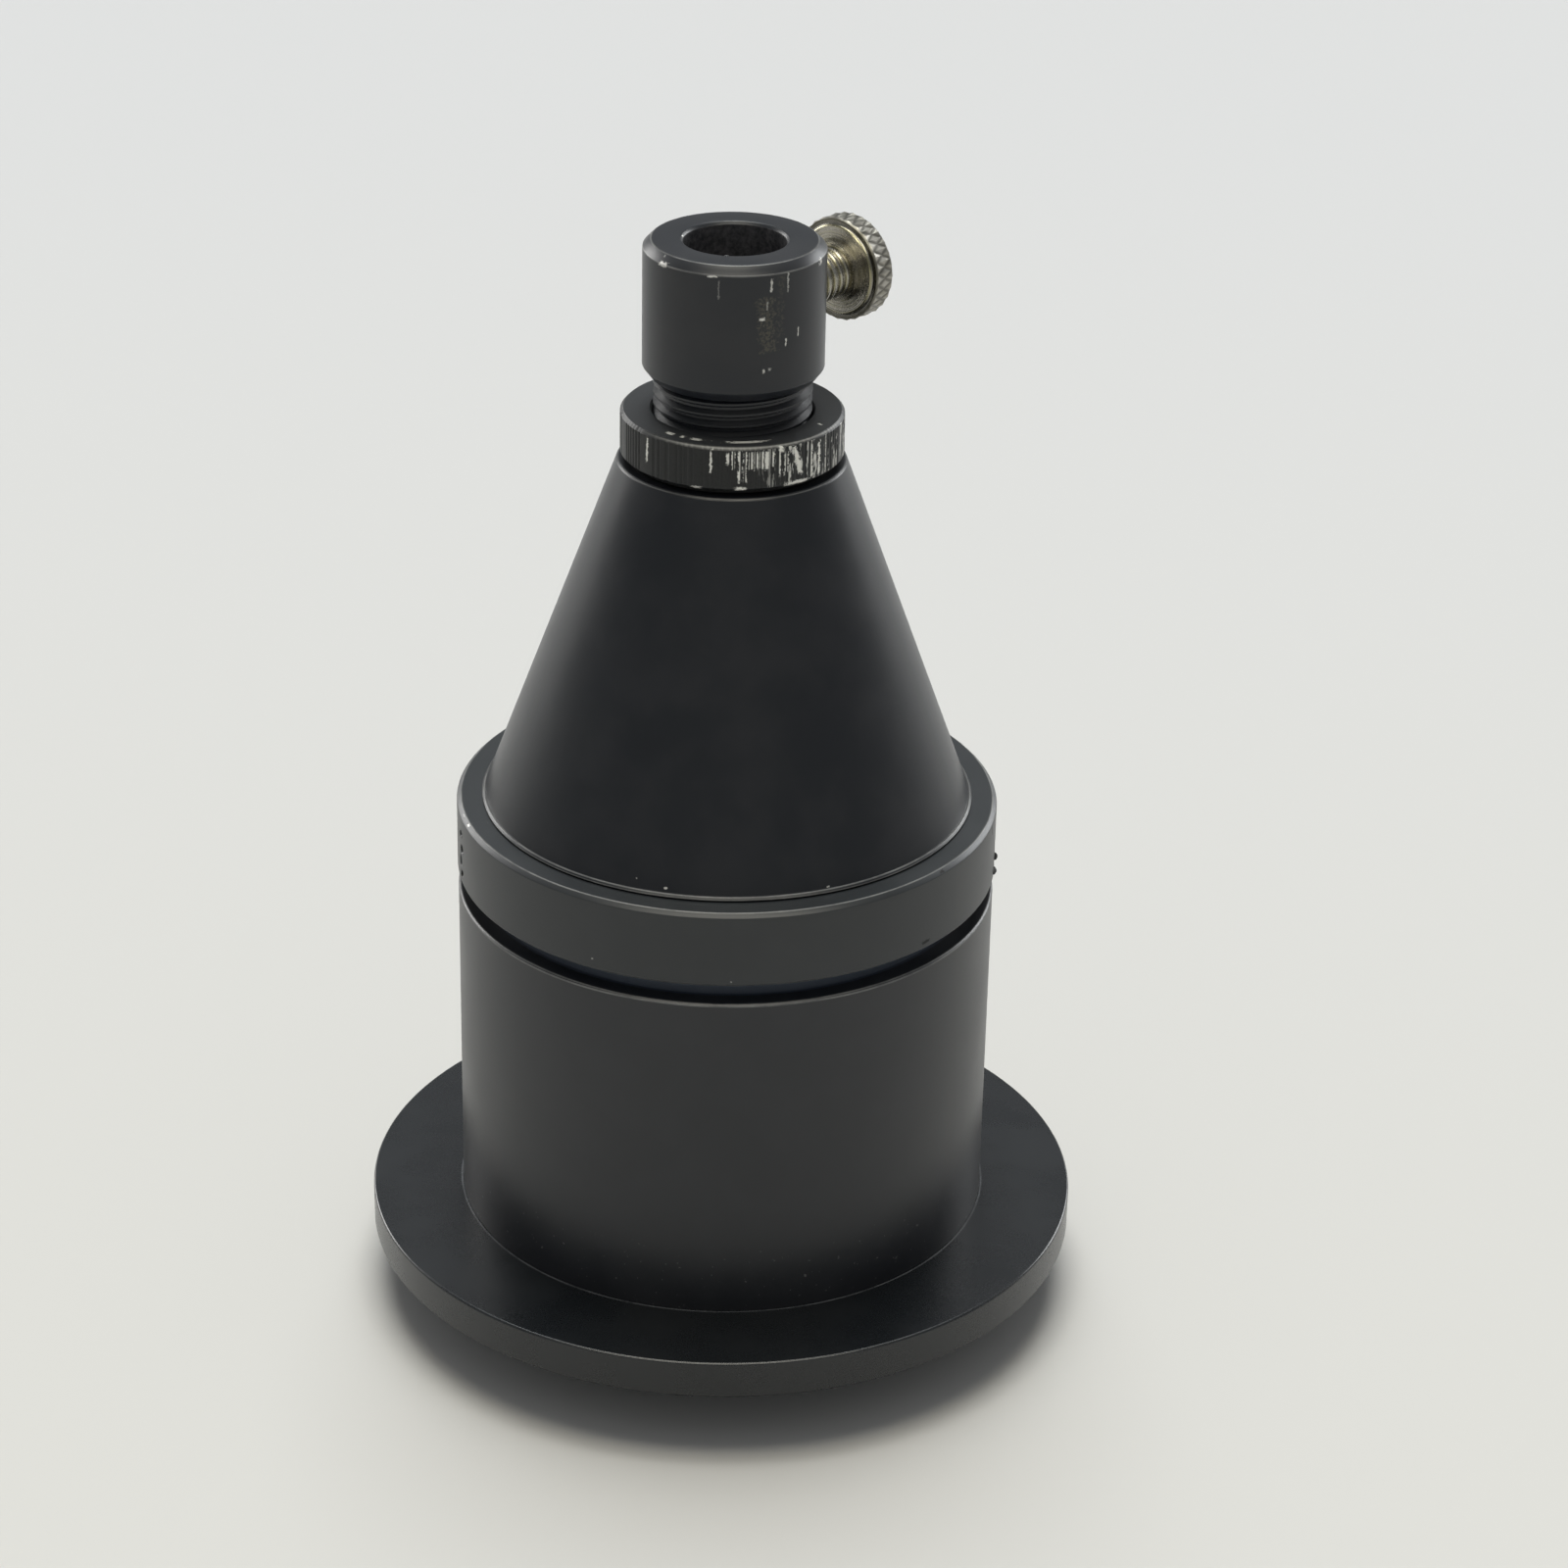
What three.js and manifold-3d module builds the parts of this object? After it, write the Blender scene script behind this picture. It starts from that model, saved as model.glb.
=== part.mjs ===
// A laser collimator that stands on the spigot of its mounting flange. Light enters by a ferrule clamped
// in the holder at the top, spreads down the cone, and leaves through the lens group in the barrel.
// Millimetres, +Z up. The origin is the centre of the spigot's lower end, and everything is turned about Z.
import * as THREE from "three";
import { mergeVertices } from "three/addons/utils/BufferGeometryUtils.js";
import Module from "manifold-3d";

const wasm = await Module();
wasm.setup();

// ---- Clearances ----
const CONTACT_GAP = 0.05; // between faces that touch
const RUNNING_CLEARANCE = 0.1; // radial, between a thread or a guide and what it turns in
const END_CLEARANCE = 0.2; // left beyond the end of a travel
const CUT_PAST = 1; // how far a hole or slot is cut past the face that it opens in

// ---- Travels, each from the rest place ----
const COLLAR_DOWN = 1.5; // how far the cone and its focusing collar move towards the barrel
const COLLAR_UP = 1;

// ---- Lenses: the radial sizes of the barrel, collar and cone follow from their radius ----
const LENS_RADIUS = 20;
const LENS_RIM = 3; // hidden by the seat and the mount all round
const CROWN = { outward: 62, joined: 45, edge: 1.5 }; // surface radii and thickness at the edge
const FLINT = { centre: 2.4, inward: 150 };
const ENTRY_LENS = { outward: 70, inward: 120, centre: 4.2 };
const SEAT_RING = { lift: 0.4, width: 2.4 }; // lift: between the lens and its seat in the barrel
const LENS_SPACER = { airGap: 0.45, width: 1.6 }; // airGap: between the middles of the lenses it parts
const RETAINING_RING = { height: 1.5, width: 1.8, slotWidth: 1.2, slotDepth: 0.8 };

// ---- Mounting flange, its spigot and the screws that hold it to the barrel ----
const SPIGOT = { height: 6, wall: 2, chamfer: 0.5, grooveDepth: 0.5, grooveWidth: 2 };
const FLANGE = { thickness: 3.7, overhang: 8.55, edge: 0.25, register: 1.2, registerWall: 2 };
const FLANGE_SCREW = {
  count: 4,
  radius: 1.2,
  headRadius: 2.3,
  length: 7.5,
  tappedPast: 1,
  headMargin: 1.2,
  socket: 0.75,
  socketDepth: 0.9,
};
const FIRST_SCREW_ANGLE = Math.PI / 4;

// ---- Lens barrel and the screw that keys the cone to it ----
const BARREL = { height: 31.7, shoulder: 1.7, edge: 0.35, neckWall: 2.3 };
const GUIDE_SCREW = {
  below: 2.5,
  angle: (115 * Math.PI) / 180,
  radius: 1.5,
  dogRadius: 1,
  dogLength: 1.4,
  socket: 0.75,
};

// ---- Focusing collar, which turns on the barrel's neck and carries the cone by a snap ring ----
const COLLAR = { gap: 1.8, height: 7.1, wall: 1.65, lip: 1.4, edge: 0.4 };
const SNAP_RING = {
  thickness: 0.85,
  grooveDepth: 0.5,
  width: 1.7,
  opening: 4,
  openingAngle: (-115 * Math.PI) / 180,
};

// ---- Cone ----
const CONE = { gap: 0.3, height: 32.5, topWall: 3.05, overhang: 1.85, wall: 2.35, edge: 0.35, footEdge: 0.25 };
const SKIRT = { step: 0.6, wall: 2 }; // step: outside the lenses' edge, so that the lenses drop in past it
const BAFFLE = { thickness: 1.2, aperture: 10.5 };
const STEM_THREAD_LENGTH = 10;

// ---- Lock ring and the washer under it ----
const WASHER = { thickness: 0.4, width: 1.9 };
const LOCK_RING = { wall: 2.8, height: 4.1, edge: 0.3, countersink: 0.2 };

// ---- Ferrule holder: a cap on a threaded stem. The radii of this upper end follow from its bore ----
const FERRULE_BORE = { radius: 4.5, leadIn: 0.25, stopWidth: 0.9, stopHeight: 1 };
const CAP = { shoulder: 1, height: 12.25, edge: 0.72, lowerEdge: 0.7, lowerEdgeHeight: 0.9 };
const STEM = { wall: 2.5, exposed: 3.25, belowThread: 2 };
const STEM_O_RING = { section: 0.55, aboveEnd: 5.5 };

// ---- Thumbscrew and its soft tip, on an axis that crosses the cap ----
const THUMBSCREW = {
  angle: (48 * Math.PI) / 180,
  radius: 2.4,
  exposed: 5.5,
  headRadius: 4.75,
  headThickness: 2.34,
  headEdge: 0.35,
  faceRadius: 3.95,
  faceRelief: 0.2,
  shoulderRadius: 2.75,
  shoulderHeight: 0.6,
};
const SCREW_TIP = { radius: 1.95, thickness: 1.2, pegRadius: 0.9, pegLength: 1.8 };

// ---- Facets round a full turn ----
const LARGE = 48;
const MEDIUM = 40;
const SMALL = 24;
const ARC_STEPS = 6;

// ---- Radii that follow from the lenses outwards ----
const lensBore = LENS_RADIUS + RUNNING_CLEARANCE;
const clearRadius = LENS_RADIUS - LENS_RIM;
const skirtRadius = LENS_RADIUS + SKIRT.step;
const skirtBore = skirtRadius - SKIRT.wall;
const guideBore = skirtRadius + RUNNING_CLEARANCE;
const neckRadius = guideBore + BARREL.neckWall;
const barrelRadius = neckRadius + BARREL.shoulder;
const collarBore = neckRadius + RUNNING_CLEARANCE;
const collarRadius = collarBore + COLLAR.wall;
const coneRadius = skirtRadius + CONE.overhang;
const flangeRadius = barrelRadius + FLANGE.overhang;
const spigotRadius = clearRadius + SPIGOT.wall;
const registerRadius = clearRadius + FLANGE.registerWall;
const screwCircle = spigotRadius + FLANGE_SCREW.headMargin + FLANGE_SCREW.headRadius;

// ---- Radii that follow from the ferrule's bore outwards ----
const stemRadius = FERRULE_BORE.radius + STEM.wall;
const capRadius = stemRadius + CAP.shoulder;
const stemHole = stemRadius + RUNNING_CLEARANCE;
const washerRadius = stemHole + WASHER.width;
const lockRingRadius = stemHole + LOCK_RING.wall;
const coneTopRadius = stemHole + CONE.topWall;

// ---- Heights, from the spigot's end upwards ----
const seatZ = SPIGOT.height;
const footZ = seatZ + FLANGE.thickness;
const shoulderZ = footZ + BARREL.height;
const collarZ = shoulderZ + COLLAR.gap;
const collarTopZ = collarZ + COLLAR.height;
const coneZ = collarTopZ + CONE.gap;
const coneTopZ = coneZ + CONE.height;
const washerZ = coneTopZ + CONTACT_GAP;
const lockRingZ = washerZ + WASHER.thickness + CONTACT_GAP;
const lockRingTopZ = lockRingZ + LOCK_RING.height;
const capZ = lockRingTopZ + STEM.exposed;
const capTopZ = capZ + CAP.height;
const thumbscrewZ = capZ + CAP.height / 2;
const stemThreadZ = coneTopZ - STEM_THREAD_LENGTH;
const stemEndZ = stemThreadZ - STEM.belowThread;

// The snap ring hangs under the collar's lip, and the neck stays below it at the bottom of the travel.
const lipZ = collarTopZ - COLLAR.lip;
const snapRingZ = lipZ - CONTACT_GAP - SNAP_RING.thickness;
const neckTopZ = snapRingZ - COLLAR_DOWN - END_CLEARANCE;

// The guide screw's dog point runs in a slot that is open at the skirt's lower end.
const guideZ = shoulderZ - GUIDE_SCREW.below;
const slotTopZ = guideZ + GUIDE_SCREW.dogRadius + COLLAR_DOWN + END_CLEARANCE;
const skirtZ = guideZ - GUIDE_SCREW.dogRadius - COLLAR_UP;
const guideBoreZ = skirtZ - COLLAR_DOWN - END_CLEARANCE;

// How far a spherical surface stands out at its middle, over a rim of the given radius.
const sag = (surface, rim) => surface - Math.sqrt(surface * surface - rim * rim);

// The lens stack hangs from the bottom of the guide bore.
const retainingZ = guideBoreZ - CONTACT_GAP - RETAINING_RING.height;
const entryRimTopZ = retainingZ - CONTACT_GAP;
const entryRimHeight =
  ENTRY_LENS.centre + sag(ENTRY_LENS.inward, LENS_RADIUS) - sag(ENTRY_LENS.outward, LENS_RADIUS);
const entryRimZ = entryRimTopZ - entryRimHeight;
const flintRimTopZ =
  entryRimZ - sag(ENTRY_LENS.outward, LENS_RADIUS) - LENS_SPACER.airGap - sag(FLINT.inward, LENS_RADIUS);
const flintRimHeight = FLINT.centre + sag(CROWN.joined, LENS_RADIUS) - sag(FLINT.inward, LENS_RADIUS);
const flintRimZ = flintRimTopZ - flintRimHeight;
const crownRimTopZ = flintRimZ - CONTACT_GAP;
const crownRimZ = crownRimTopZ - CROWN.edge;

// Heights of the lens surfaces that rest on a ring, at a radius.
const crownBottomZ = (radius) => crownRimZ - sag(CROWN.outward, LENS_RADIUS) + sag(CROWN.outward, radius);
const flintTopZ = (radius) => flintRimTopZ + sag(FLINT.inward, LENS_RADIUS) - sag(FLINT.inward, radius);
const entryBottomZ = (radius) => entryRimZ - sag(ENTRY_LENS.outward, LENS_RADIUS) + sag(ENTRY_LENS.outward, radius);
const seatRingZ = crownBottomZ(clearRadius) - SEAT_RING.lift;
const lensSeatZ = seatRingZ - CONTACT_GAP;

// ---- Materials ----
const finish = (color, roughness, metalness) =>
  new THREE.MeshStandardMaterial({ color, roughness, metalness });
const anodised = finish(0x2c2d2f, 0.5, 0.6);
const satinAnodised = finish(0x36383a, 0.4, 0.7);
const matteBlack = finish(0x141415, 0.9, 0.1);
const nickel = finish(0xa09a8c, 0.35, 1);
const steel = finish(0x55565a, 0.4, 0.9);
const rubber = finish(0x101011, 0.85, 0);
const nylon = finish(0xd9d6cc, 0.6, 0);
const glass = new THREE.MeshStandardMaterial({
  color: 0xcfe2e6,
  roughness: 0.05,
  metalness: 0,
  transparent: true,
  opacity: 0.4,
});

// ---- Geometry helpers ----
// Turns a closed profile of [radius, height] points about Z. The profile runs upwards on its outer side.
function turned(profile, facets) {
  const points = [...profile, profile[0]].map(([radius, height]) => new THREE.Vector2(radius, height));
  return new THREE.LatheGeometry(points, facets).rotateX(Math.PI / 2);
}

function ring(innerRadius, outerRadius, bottomZ, topZ, facets) {
  return turned(
    [
      [innerRadius, bottomZ],
      [outerRadius, bottomZ],
      [outerRadius, topZ],
      [innerRadius, topZ],
    ],
    facets,
  );
}

// Points along a surface of revolution from one radius to another, as [radius, heightAt(radius)].
function surfaceArc(heightAt, fromRadius, toRadius) {
  const points = [];
  for (let i = 0; i <= ARC_STEPS; i++) {
    const radius = fromRadius + ((toRadius - fromRadius) * i) / ARC_STEPS;
    points.push([radius, heightAt(radius)]);
  }
  return points;
}

// A lens, from the heights of its lower and upper surfaces.
function lens(lowerAt, upperAt) {
  return turned([...surfaceArc(lowerAt, 0, LENS_RADIUS), ...surfaceArc(upperAt, LENS_RADIUS, 0)], SMALL);
}

// A ring under or between lenses, whose faces follow the surfaces that they meet.
function seatedRing(width, lowerAt, upperAt) {
  const inner = LENS_RADIUS - width;
  return turned(
    [
      [inner, lowerAt(inner)],
      [LENS_RADIUS, lowerAt(LENS_RADIUS)],
      [LENS_RADIUS, upperAt(LENS_RADIUS)],
      [inner, upperAt(inner)],
    ],
    LARGE,
  );
}

// A round bar whose axis runs along +X from fromX to toX, with a radius at each end.
function barAlongX(fromX, toX, fromRadius, toRadius, facets) {
  return new THREE.CylinderGeometry(fromRadius, toRadius, toX - fromX, facets)
    .rotateZ(Math.PI / 2)
    .translate((fromX + toX) / 2, 0, 0);
}

function hexAlongZ(acrossCorners, bottomZ, topZ) {
  return new THREE.CylinderGeometry(acrossCorners, acrossCorners, topZ - bottomZ, 6)
    .rotateX(Math.PI / 2)
    .translate(0, 0, (bottomZ + topZ) / 2);
}

function toSolid(geometry) {
  const bare = geometry.clone().deleteAttribute("normal").deleteAttribute("uv");
  const merged = mergeVertices(bare);
  return new wasm.Manifold(
    new wasm.Mesh({
      numProp: 3,
      vertProperties: new Float32Array(merged.attributes.position.array),
      triVerts: new Uint32Array(merged.index.array),
    }),
  );
}

// Cuts each tool out of a geometry.
function cut(geometry, ...tools) {
  const solid = tools.reduce((left, tool) => left.subtract(toSolid(tool)), toSolid(geometry));
  const mesh = solid.getMesh();
  const made = new THREE.BufferGeometry();
  made.setAttribute("position", new THREE.BufferAttribute(mesh.vertProperties, 3));
  made.setIndex(new THREE.BufferAttribute(mesh.triVerts, 1));
  made.computeVertexNormals();
  return made;
}

function piece(name, geometry, material) {
  const mesh = new THREE.Mesh(geometry, material);
  mesh.name = name;
  return mesh;
}

const screwAngles = Array.from(
  { length: FLANGE_SCREW.count },
  (_, i) => FIRST_SCREW_ANGLE + (2 * Math.PI * i) / FLANGE_SCREW.count,
);
const onScrewCircle = (geometry, angle) =>
  geometry.translate(screwCircle * Math.cos(angle), screwCircle * Math.sin(angle), 0);

// ---- Mounting flange ----
const headHeight = FLANGE_SCREW.headRadius - FLANGE_SCREW.radius; // a 90 degree countersink

function mountFlange() {
  const grooveZ = SPIGOT.height / 2;
  const halfGroove = SPIGOT.grooveWidth / 2;
  const body = turned(
    [
      [clearRadius, 0],
      [spigotRadius - SPIGOT.chamfer, 0],
      [spigotRadius, SPIGOT.chamfer],
      [spigotRadius, grooveZ - halfGroove],
      [spigotRadius - SPIGOT.grooveDepth, grooveZ],
      [spigotRadius, grooveZ + halfGroove],
      [spigotRadius, seatZ],
      [flangeRadius - FLANGE.edge, seatZ],
      [flangeRadius, seatZ + FLANGE.edge],
      [flangeRadius, footZ - FLANGE.edge],
      [flangeRadius - FLANGE.edge, footZ],
      [registerRadius, footZ],
      [registerRadius, footZ + FLANGE.register],
      [clearRadius, footZ + FLANGE.register],
    ],
    LARGE,
  );
  const shank = FLANGE_SCREW.radius + RUNNING_CLEARANCE;
  const mouth = FLANGE_SCREW.headRadius + RUNNING_CLEARANCE;
  const hole = () =>
    turned(
      [
        [0, seatZ - CUT_PAST],
        [mouth + CUT_PAST, seatZ - CUT_PAST],
        [shank, seatZ + mouth - shank],
        [shank, footZ + CUT_PAST],
        [0, footZ + CUT_PAST],
      ],
      SMALL,
    );
  return cut(body, ...screwAngles.map((angle) => onScrewCircle(hole(), angle)));
}

function flangeScrew(angle) {
  const headZ = seatZ + CONTACT_GAP * 2;
  const body = turned(
    [
      [0, headZ],
      [FLANGE_SCREW.headRadius, headZ],
      [FLANGE_SCREW.radius, headZ + headHeight],
      [FLANGE_SCREW.radius, headZ + FLANGE_SCREW.length],
      [0, headZ + FLANGE_SCREW.length],
    ],
    SMALL,
  );
  const socket = hexAlongZ(FLANGE_SCREW.socket, headZ - CUT_PAST, headZ + FLANGE_SCREW.socketDepth);
  return onScrewCircle(cut(body, socket), angle);
}

// ---- Lens barrel ----
function lensBarrel() {
  const body = turned(
    [
      [registerRadius + RUNNING_CLEARANCE, footZ],
      [barrelRadius, footZ],
      [barrelRadius, shoulderZ - BARREL.edge],
      [barrelRadius - BARREL.edge, shoulderZ],
      [neckRadius, shoulderZ],
      [neckRadius, neckTopZ],
      [guideBore, neckTopZ],
      [guideBore, guideBoreZ],
      [lensBore, guideBoreZ],
      [lensBore, lensSeatZ],
      [clearRadius, lensSeatZ],
      [clearRadius, footZ + FLANGE.register + RUNNING_CLEARANCE],
      [registerRadius + RUNNING_CLEARANCE, footZ + FLANGE.register + RUNNING_CLEARANCE],
    ],
    LARGE,
  );
  const screwEndZ = seatZ + FLANGE_SCREW.length + FLANGE_SCREW.tappedPast;
  const screwHole = () =>
    new THREE.CylinderGeometry(
      FLANGE_SCREW.radius + RUNNING_CLEARANCE,
      FLANGE_SCREW.radius + RUNNING_CLEARANCE,
      screwEndZ - seatZ,
      SMALL,
    )
      .rotateX(Math.PI / 2)
      .translate(0, 0, (seatZ + screwEndZ) / 2);
  const guideHoleRadius = GUIDE_SCREW.radius + RUNNING_CLEARANCE;
  const guideHole = barAlongX(lensBore, barrelRadius + CUT_PAST, guideHoleRadius, guideHoleRadius, SMALL)
    .rotateZ(GUIDE_SCREW.angle)
    .translate(0, 0, guideZ);
  return cut(body, guideHole, ...screwAngles.map((angle) => onScrewCircle(screwHole(), angle)));
}

// A dog-point set screw along +X. Its socket faces outwards, and its point ends inside the skirt's slot.
function guideScrew() {
  const outerX = barrelRadius - END_CLEARANCE;
  const innerX = guideBore + RUNNING_CLEARANCE;
  const dogX = innerX - GUIDE_SCREW.dogLength;
  const body = turned(
    [
      [0, dogX],
      [GUIDE_SCREW.dogRadius, dogX],
      [GUIDE_SCREW.dogRadius, innerX],
      [GUIDE_SCREW.radius, innerX],
      [GUIDE_SCREW.radius, outerX],
      [0, outerX],
    ],
    SMALL,
  );
  const socketDepth = (outerX - innerX) / 2;
  const socket = hexAlongZ(GUIDE_SCREW.socket, outerX - socketDepth, outerX + CUT_PAST);
  return cut(body, socket).rotateY(Math.PI / 2);
}

// ---- Lens group ----
const joinTopZ = crownRimTopZ + sag(CROWN.joined, LENS_RADIUS);
const joinZ = (radius) => joinTopZ - sag(CROWN.joined, radius);
const entryTopZ = (radius) =>
  entryBottomZ(0) + ENTRY_LENS.centre + sag(ENTRY_LENS.inward, radius);

const lensSeatRing = () =>
  seatedRing(
    SEAT_RING.width,
    () => seatRingZ,
    (radius) => crownBottomZ(radius) - CONTACT_GAP,
  );
const doubletCrown = () => lens(crownBottomZ, joinZ);
const doubletFlint = () => lens((radius) => joinZ(radius) + CONTACT_GAP, flintTopZ);
const lensSpacer = () =>
  seatedRing(
    LENS_SPACER.width,
    (radius) => flintTopZ(radius) + CONTACT_GAP,
    (radius) => entryBottomZ(radius) - CONTACT_GAP,
  );
const entryLens = () => lens(entryBottomZ, entryTopZ);

function retainingRing() {
  const topZ = retainingZ + RETAINING_RING.height;
  const body = ring(LENS_RADIUS - RETAINING_RING.width, LENS_RADIUS, retainingZ, topZ, LARGE);
  const slots = new THREE.BoxGeometry(3 * LENS_RADIUS, RETAINING_RING.slotWidth, 2 * RETAINING_RING.slotDepth);
  return cut(body, slots.translate(0, 0, topZ));
}

// ---- Cone, baffle, snap ring and focusing collar ----
const coneSlope = (coneRadius - coneTopRadius) / CONE.height;
const coneRadiusAt = (z) => coneRadius - coneSlope * (z - coneZ);
const skirtBoreTopZ = coneZ + (coneRadius - CONE.wall - skirtBore) / coneSlope;
const baffleZ = skirtBoreTopZ - CONTACT_GAP - BAFFLE.thickness;

function coneHousing() {
  const grooveRadius = skirtRadius - SNAP_RING.grooveDepth;
  const body = turned(
    [
      [skirtBore, skirtZ],
      [skirtRadius, skirtZ],
      [skirtRadius, snapRingZ - CONTACT_GAP],
      [grooveRadius, snapRingZ - CONTACT_GAP],
      [grooveRadius, lipZ],
      [skirtRadius, lipZ],
      [skirtRadius, coneZ],
      [coneRadius - CONE.footEdge, coneZ],
      [coneRadius, coneZ + CONE.footEdge],
      [coneTopRadius + coneSlope * CONE.edge, coneTopZ - CONE.edge],
      [coneTopRadius - CONE.edge, coneTopZ],
      [stemHole, coneTopZ],
      [stemHole, stemThreadZ],
      [coneRadiusAt(stemThreadZ) - CONE.wall, stemThreadZ],
      [skirtBore, skirtBoreTopZ],
    ],
    LARGE,
  );
  const slotWidth = 2 * (GUIDE_SCREW.dogRadius + RUNNING_CLEARANCE);
  const slotHeight = slotTopZ - skirtZ + CUT_PAST;
  const slot = new THREE.BoxGeometry(2 * (SKIRT.wall + CUT_PAST), slotWidth, slotHeight)
    .translate(skirtRadius, 0, slotTopZ - slotHeight / 2)
    .rotateZ(GUIDE_SCREW.angle);
  return cut(body, slot);
}

function snapRing() {
  const innerRadius = skirtRadius - SNAP_RING.grooveDepth + CONTACT_GAP;
  const topZ = snapRingZ + SNAP_RING.thickness;
  const body = ring(innerRadius, innerRadius + SNAP_RING.width, snapRingZ, topZ, LARGE);
  const opening = new THREE.BoxGeometry(3 * SNAP_RING.width, SNAP_RING.opening, 3 * SNAP_RING.thickness)
    .translate(innerRadius + SNAP_RING.width / 2, 0, snapRingZ)
    .rotateZ(SNAP_RING.openingAngle);
  return cut(body, opening);
}

function focusingCollar() {
  const lipRadius = skirtRadius + RUNNING_CLEARANCE;
  return turned(
    [
      [collarBore, collarZ],
      [collarRadius - CONE.footEdge, collarZ],
      [collarRadius, collarZ + CONE.footEdge],
      [collarRadius, collarTopZ - COLLAR.edge],
      [collarRadius - COLLAR.edge, collarTopZ],
      [lipRadius, collarTopZ],
      [lipRadius, lipZ],
      [collarBore, lipZ],
    ],
    LARGE,
  );
}

// ---- Lock ring ----
function lockRing() {
  const outer = lockRingRadius;
  return turned(
    [
      [stemHole, lockRingZ],
      [outer - LOCK_RING.edge, lockRingZ],
      [outer, lockRingZ + LOCK_RING.edge],
      [outer, lockRingTopZ - LOCK_RING.edge],
      [outer - LOCK_RING.edge, lockRingTopZ],
      [stemHole + LOCK_RING.countersink, lockRingTopZ],
      [stemHole, lockRingTopZ - LOCK_RING.countersink],
    ],
    MEDIUM,
  );
}

// ---- Ferrule holder ----
const oRingZ = stemEndZ + STEM_O_RING.aboveEnd;
const oRingRadius = stemRadius - STEM_O_RING.section;

function ferruleHolder() {
  const halfGroove = STEM_O_RING.section + CONTACT_GAP;
  const grooveRadius = stemRadius - 2 * halfGroove;
  const stopRadius = FERRULE_BORE.radius - FERRULE_BORE.stopWidth;
  const body = turned(
    [
      [stopRadius, stemEndZ],
      [stemRadius - CAP.edge, stemEndZ],
      [stemRadius, stemEndZ + CAP.edge],
      [stemRadius, oRingZ - halfGroove],
      [grooveRadius, oRingZ - halfGroove],
      [grooveRadius, oRingZ + halfGroove],
      [stemRadius, oRingZ + halfGroove],
      [stemRadius, capZ],
      [capRadius - CAP.lowerEdge, capZ],
      [capRadius, capZ + CAP.lowerEdgeHeight],
      [capRadius, capTopZ - CAP.edge],
      [capRadius - CAP.edge, capTopZ],
      [FERRULE_BORE.radius + FERRULE_BORE.leadIn, capTopZ],
      [FERRULE_BORE.radius, capTopZ - FERRULE_BORE.leadIn],
      [FERRULE_BORE.radius, stemEndZ + FERRULE_BORE.stopHeight],
      [stopRadius, stemEndZ + FERRULE_BORE.stopHeight],
    ],
    MEDIUM,
  );
  const holeRadius = THUMBSCREW.radius + RUNNING_CLEARANCE;
  const hole = barAlongX(0, capRadius + CUT_PAST, holeRadius, holeRadius, SMALL)
    .rotateZ(THUMBSCREW.angle)
    .translate(0, 0, thumbscrewZ);
  return cut(body, hole);
}

function stemORing() {
  const profile = [];
  const sides = 8;
  for (let i = 0; i < sides; i++) {
    const turn = (2 * Math.PI * (i + 0.5)) / sides;
    const reach = STEM_O_RING.section;
    profile.push([oRingRadius + reach * Math.cos(turn), oRingZ + reach * Math.sin(turn)]);
  }
  return turned(profile, MEDIUM);
}

// ---- Thumbscrew and tip, along +X from the axis of the holder ----
const tipX = FERRULE_BORE.radius;
const screwEndX = tipX + SCREW_TIP.thickness + RUNNING_CLEARANCE;
const headX = capRadius + THUMBSCREW.exposed;

function thumbscrew() {
  const t = THUMBSCREW;
  const outerX = headX + t.headThickness;
  const socket = SCREW_TIP.pegRadius + RUNNING_CLEARANCE;
  const socketX = screwEndX + SCREW_TIP.pegLength;
  return turned(
    [
      [socket, screwEndX],
      [t.radius, screwEndX],
      [t.radius, headX - t.shoulderHeight],
      [t.shoulderRadius, headX - t.shoulderHeight],
      [t.shoulderRadius, headX],
      [t.faceRadius, headX],
      [t.faceRadius + t.faceRelief, headX + t.faceRelief],
      [t.headRadius - t.headEdge, headX + t.faceRelief],
      [t.headRadius, headX + t.faceRelief + t.headEdge],
      [t.headRadius, outerX - t.headEdge],
      [t.headRadius - t.headEdge, outerX],
      [0, outerX],
      [0, socketX],
      [socket, socketX],
    ],
    SMALL,
  ).rotateY(Math.PI / 2);
}

function screwTip() {
  const s = SCREW_TIP;
  return turned(
    [
      [0, tipX],
      [s.radius - s.thickness / 4, tipX],
      [s.radius, tipX + s.thickness / 4],
      [s.radius, tipX + s.thickness],
      [s.pegRadius, tipX + s.thickness],
      [s.pegRadius, tipX + s.thickness + s.pegLength],
      [0, tipX + s.thickness + s.pegLength],
    ],
    SMALL,
  ).rotateY(Math.PI / 2);
}

// ---- The assembly ----
const collimator = new THREE.Group();

const base = new THREE.Group();
base.add(piece("mount_flange", mountFlange(), anodised));
screwAngles.forEach((angle, i) => base.add(piece(`flange_screw_${i + 1}`, flangeScrew(angle), steel)));
base.add(piece("lens_barrel", lensBarrel(), anodised));
const keyed = piece("guide_screw", guideScrew(), steel);
keyed.position.z = guideZ;
keyed.rotation.z = GUIDE_SCREW.angle;
base.add(keyed);

const lensGroup = new THREE.Group();
lensGroup.add(
  piece("lens_seat_ring", lensSeatRing(), rubber),
  piece("doublet_crown", doubletCrown(), glass),
  piece("doublet_flint", doubletFlint(), glass),
  piece("lens_spacer", lensSpacer(), matteBlack),
  piece("entry_lens", entryLens(), glass),
  piece("lens_retaining_ring", retainingRing(), matteBlack),
);
base.add(lensGroup);

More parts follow.
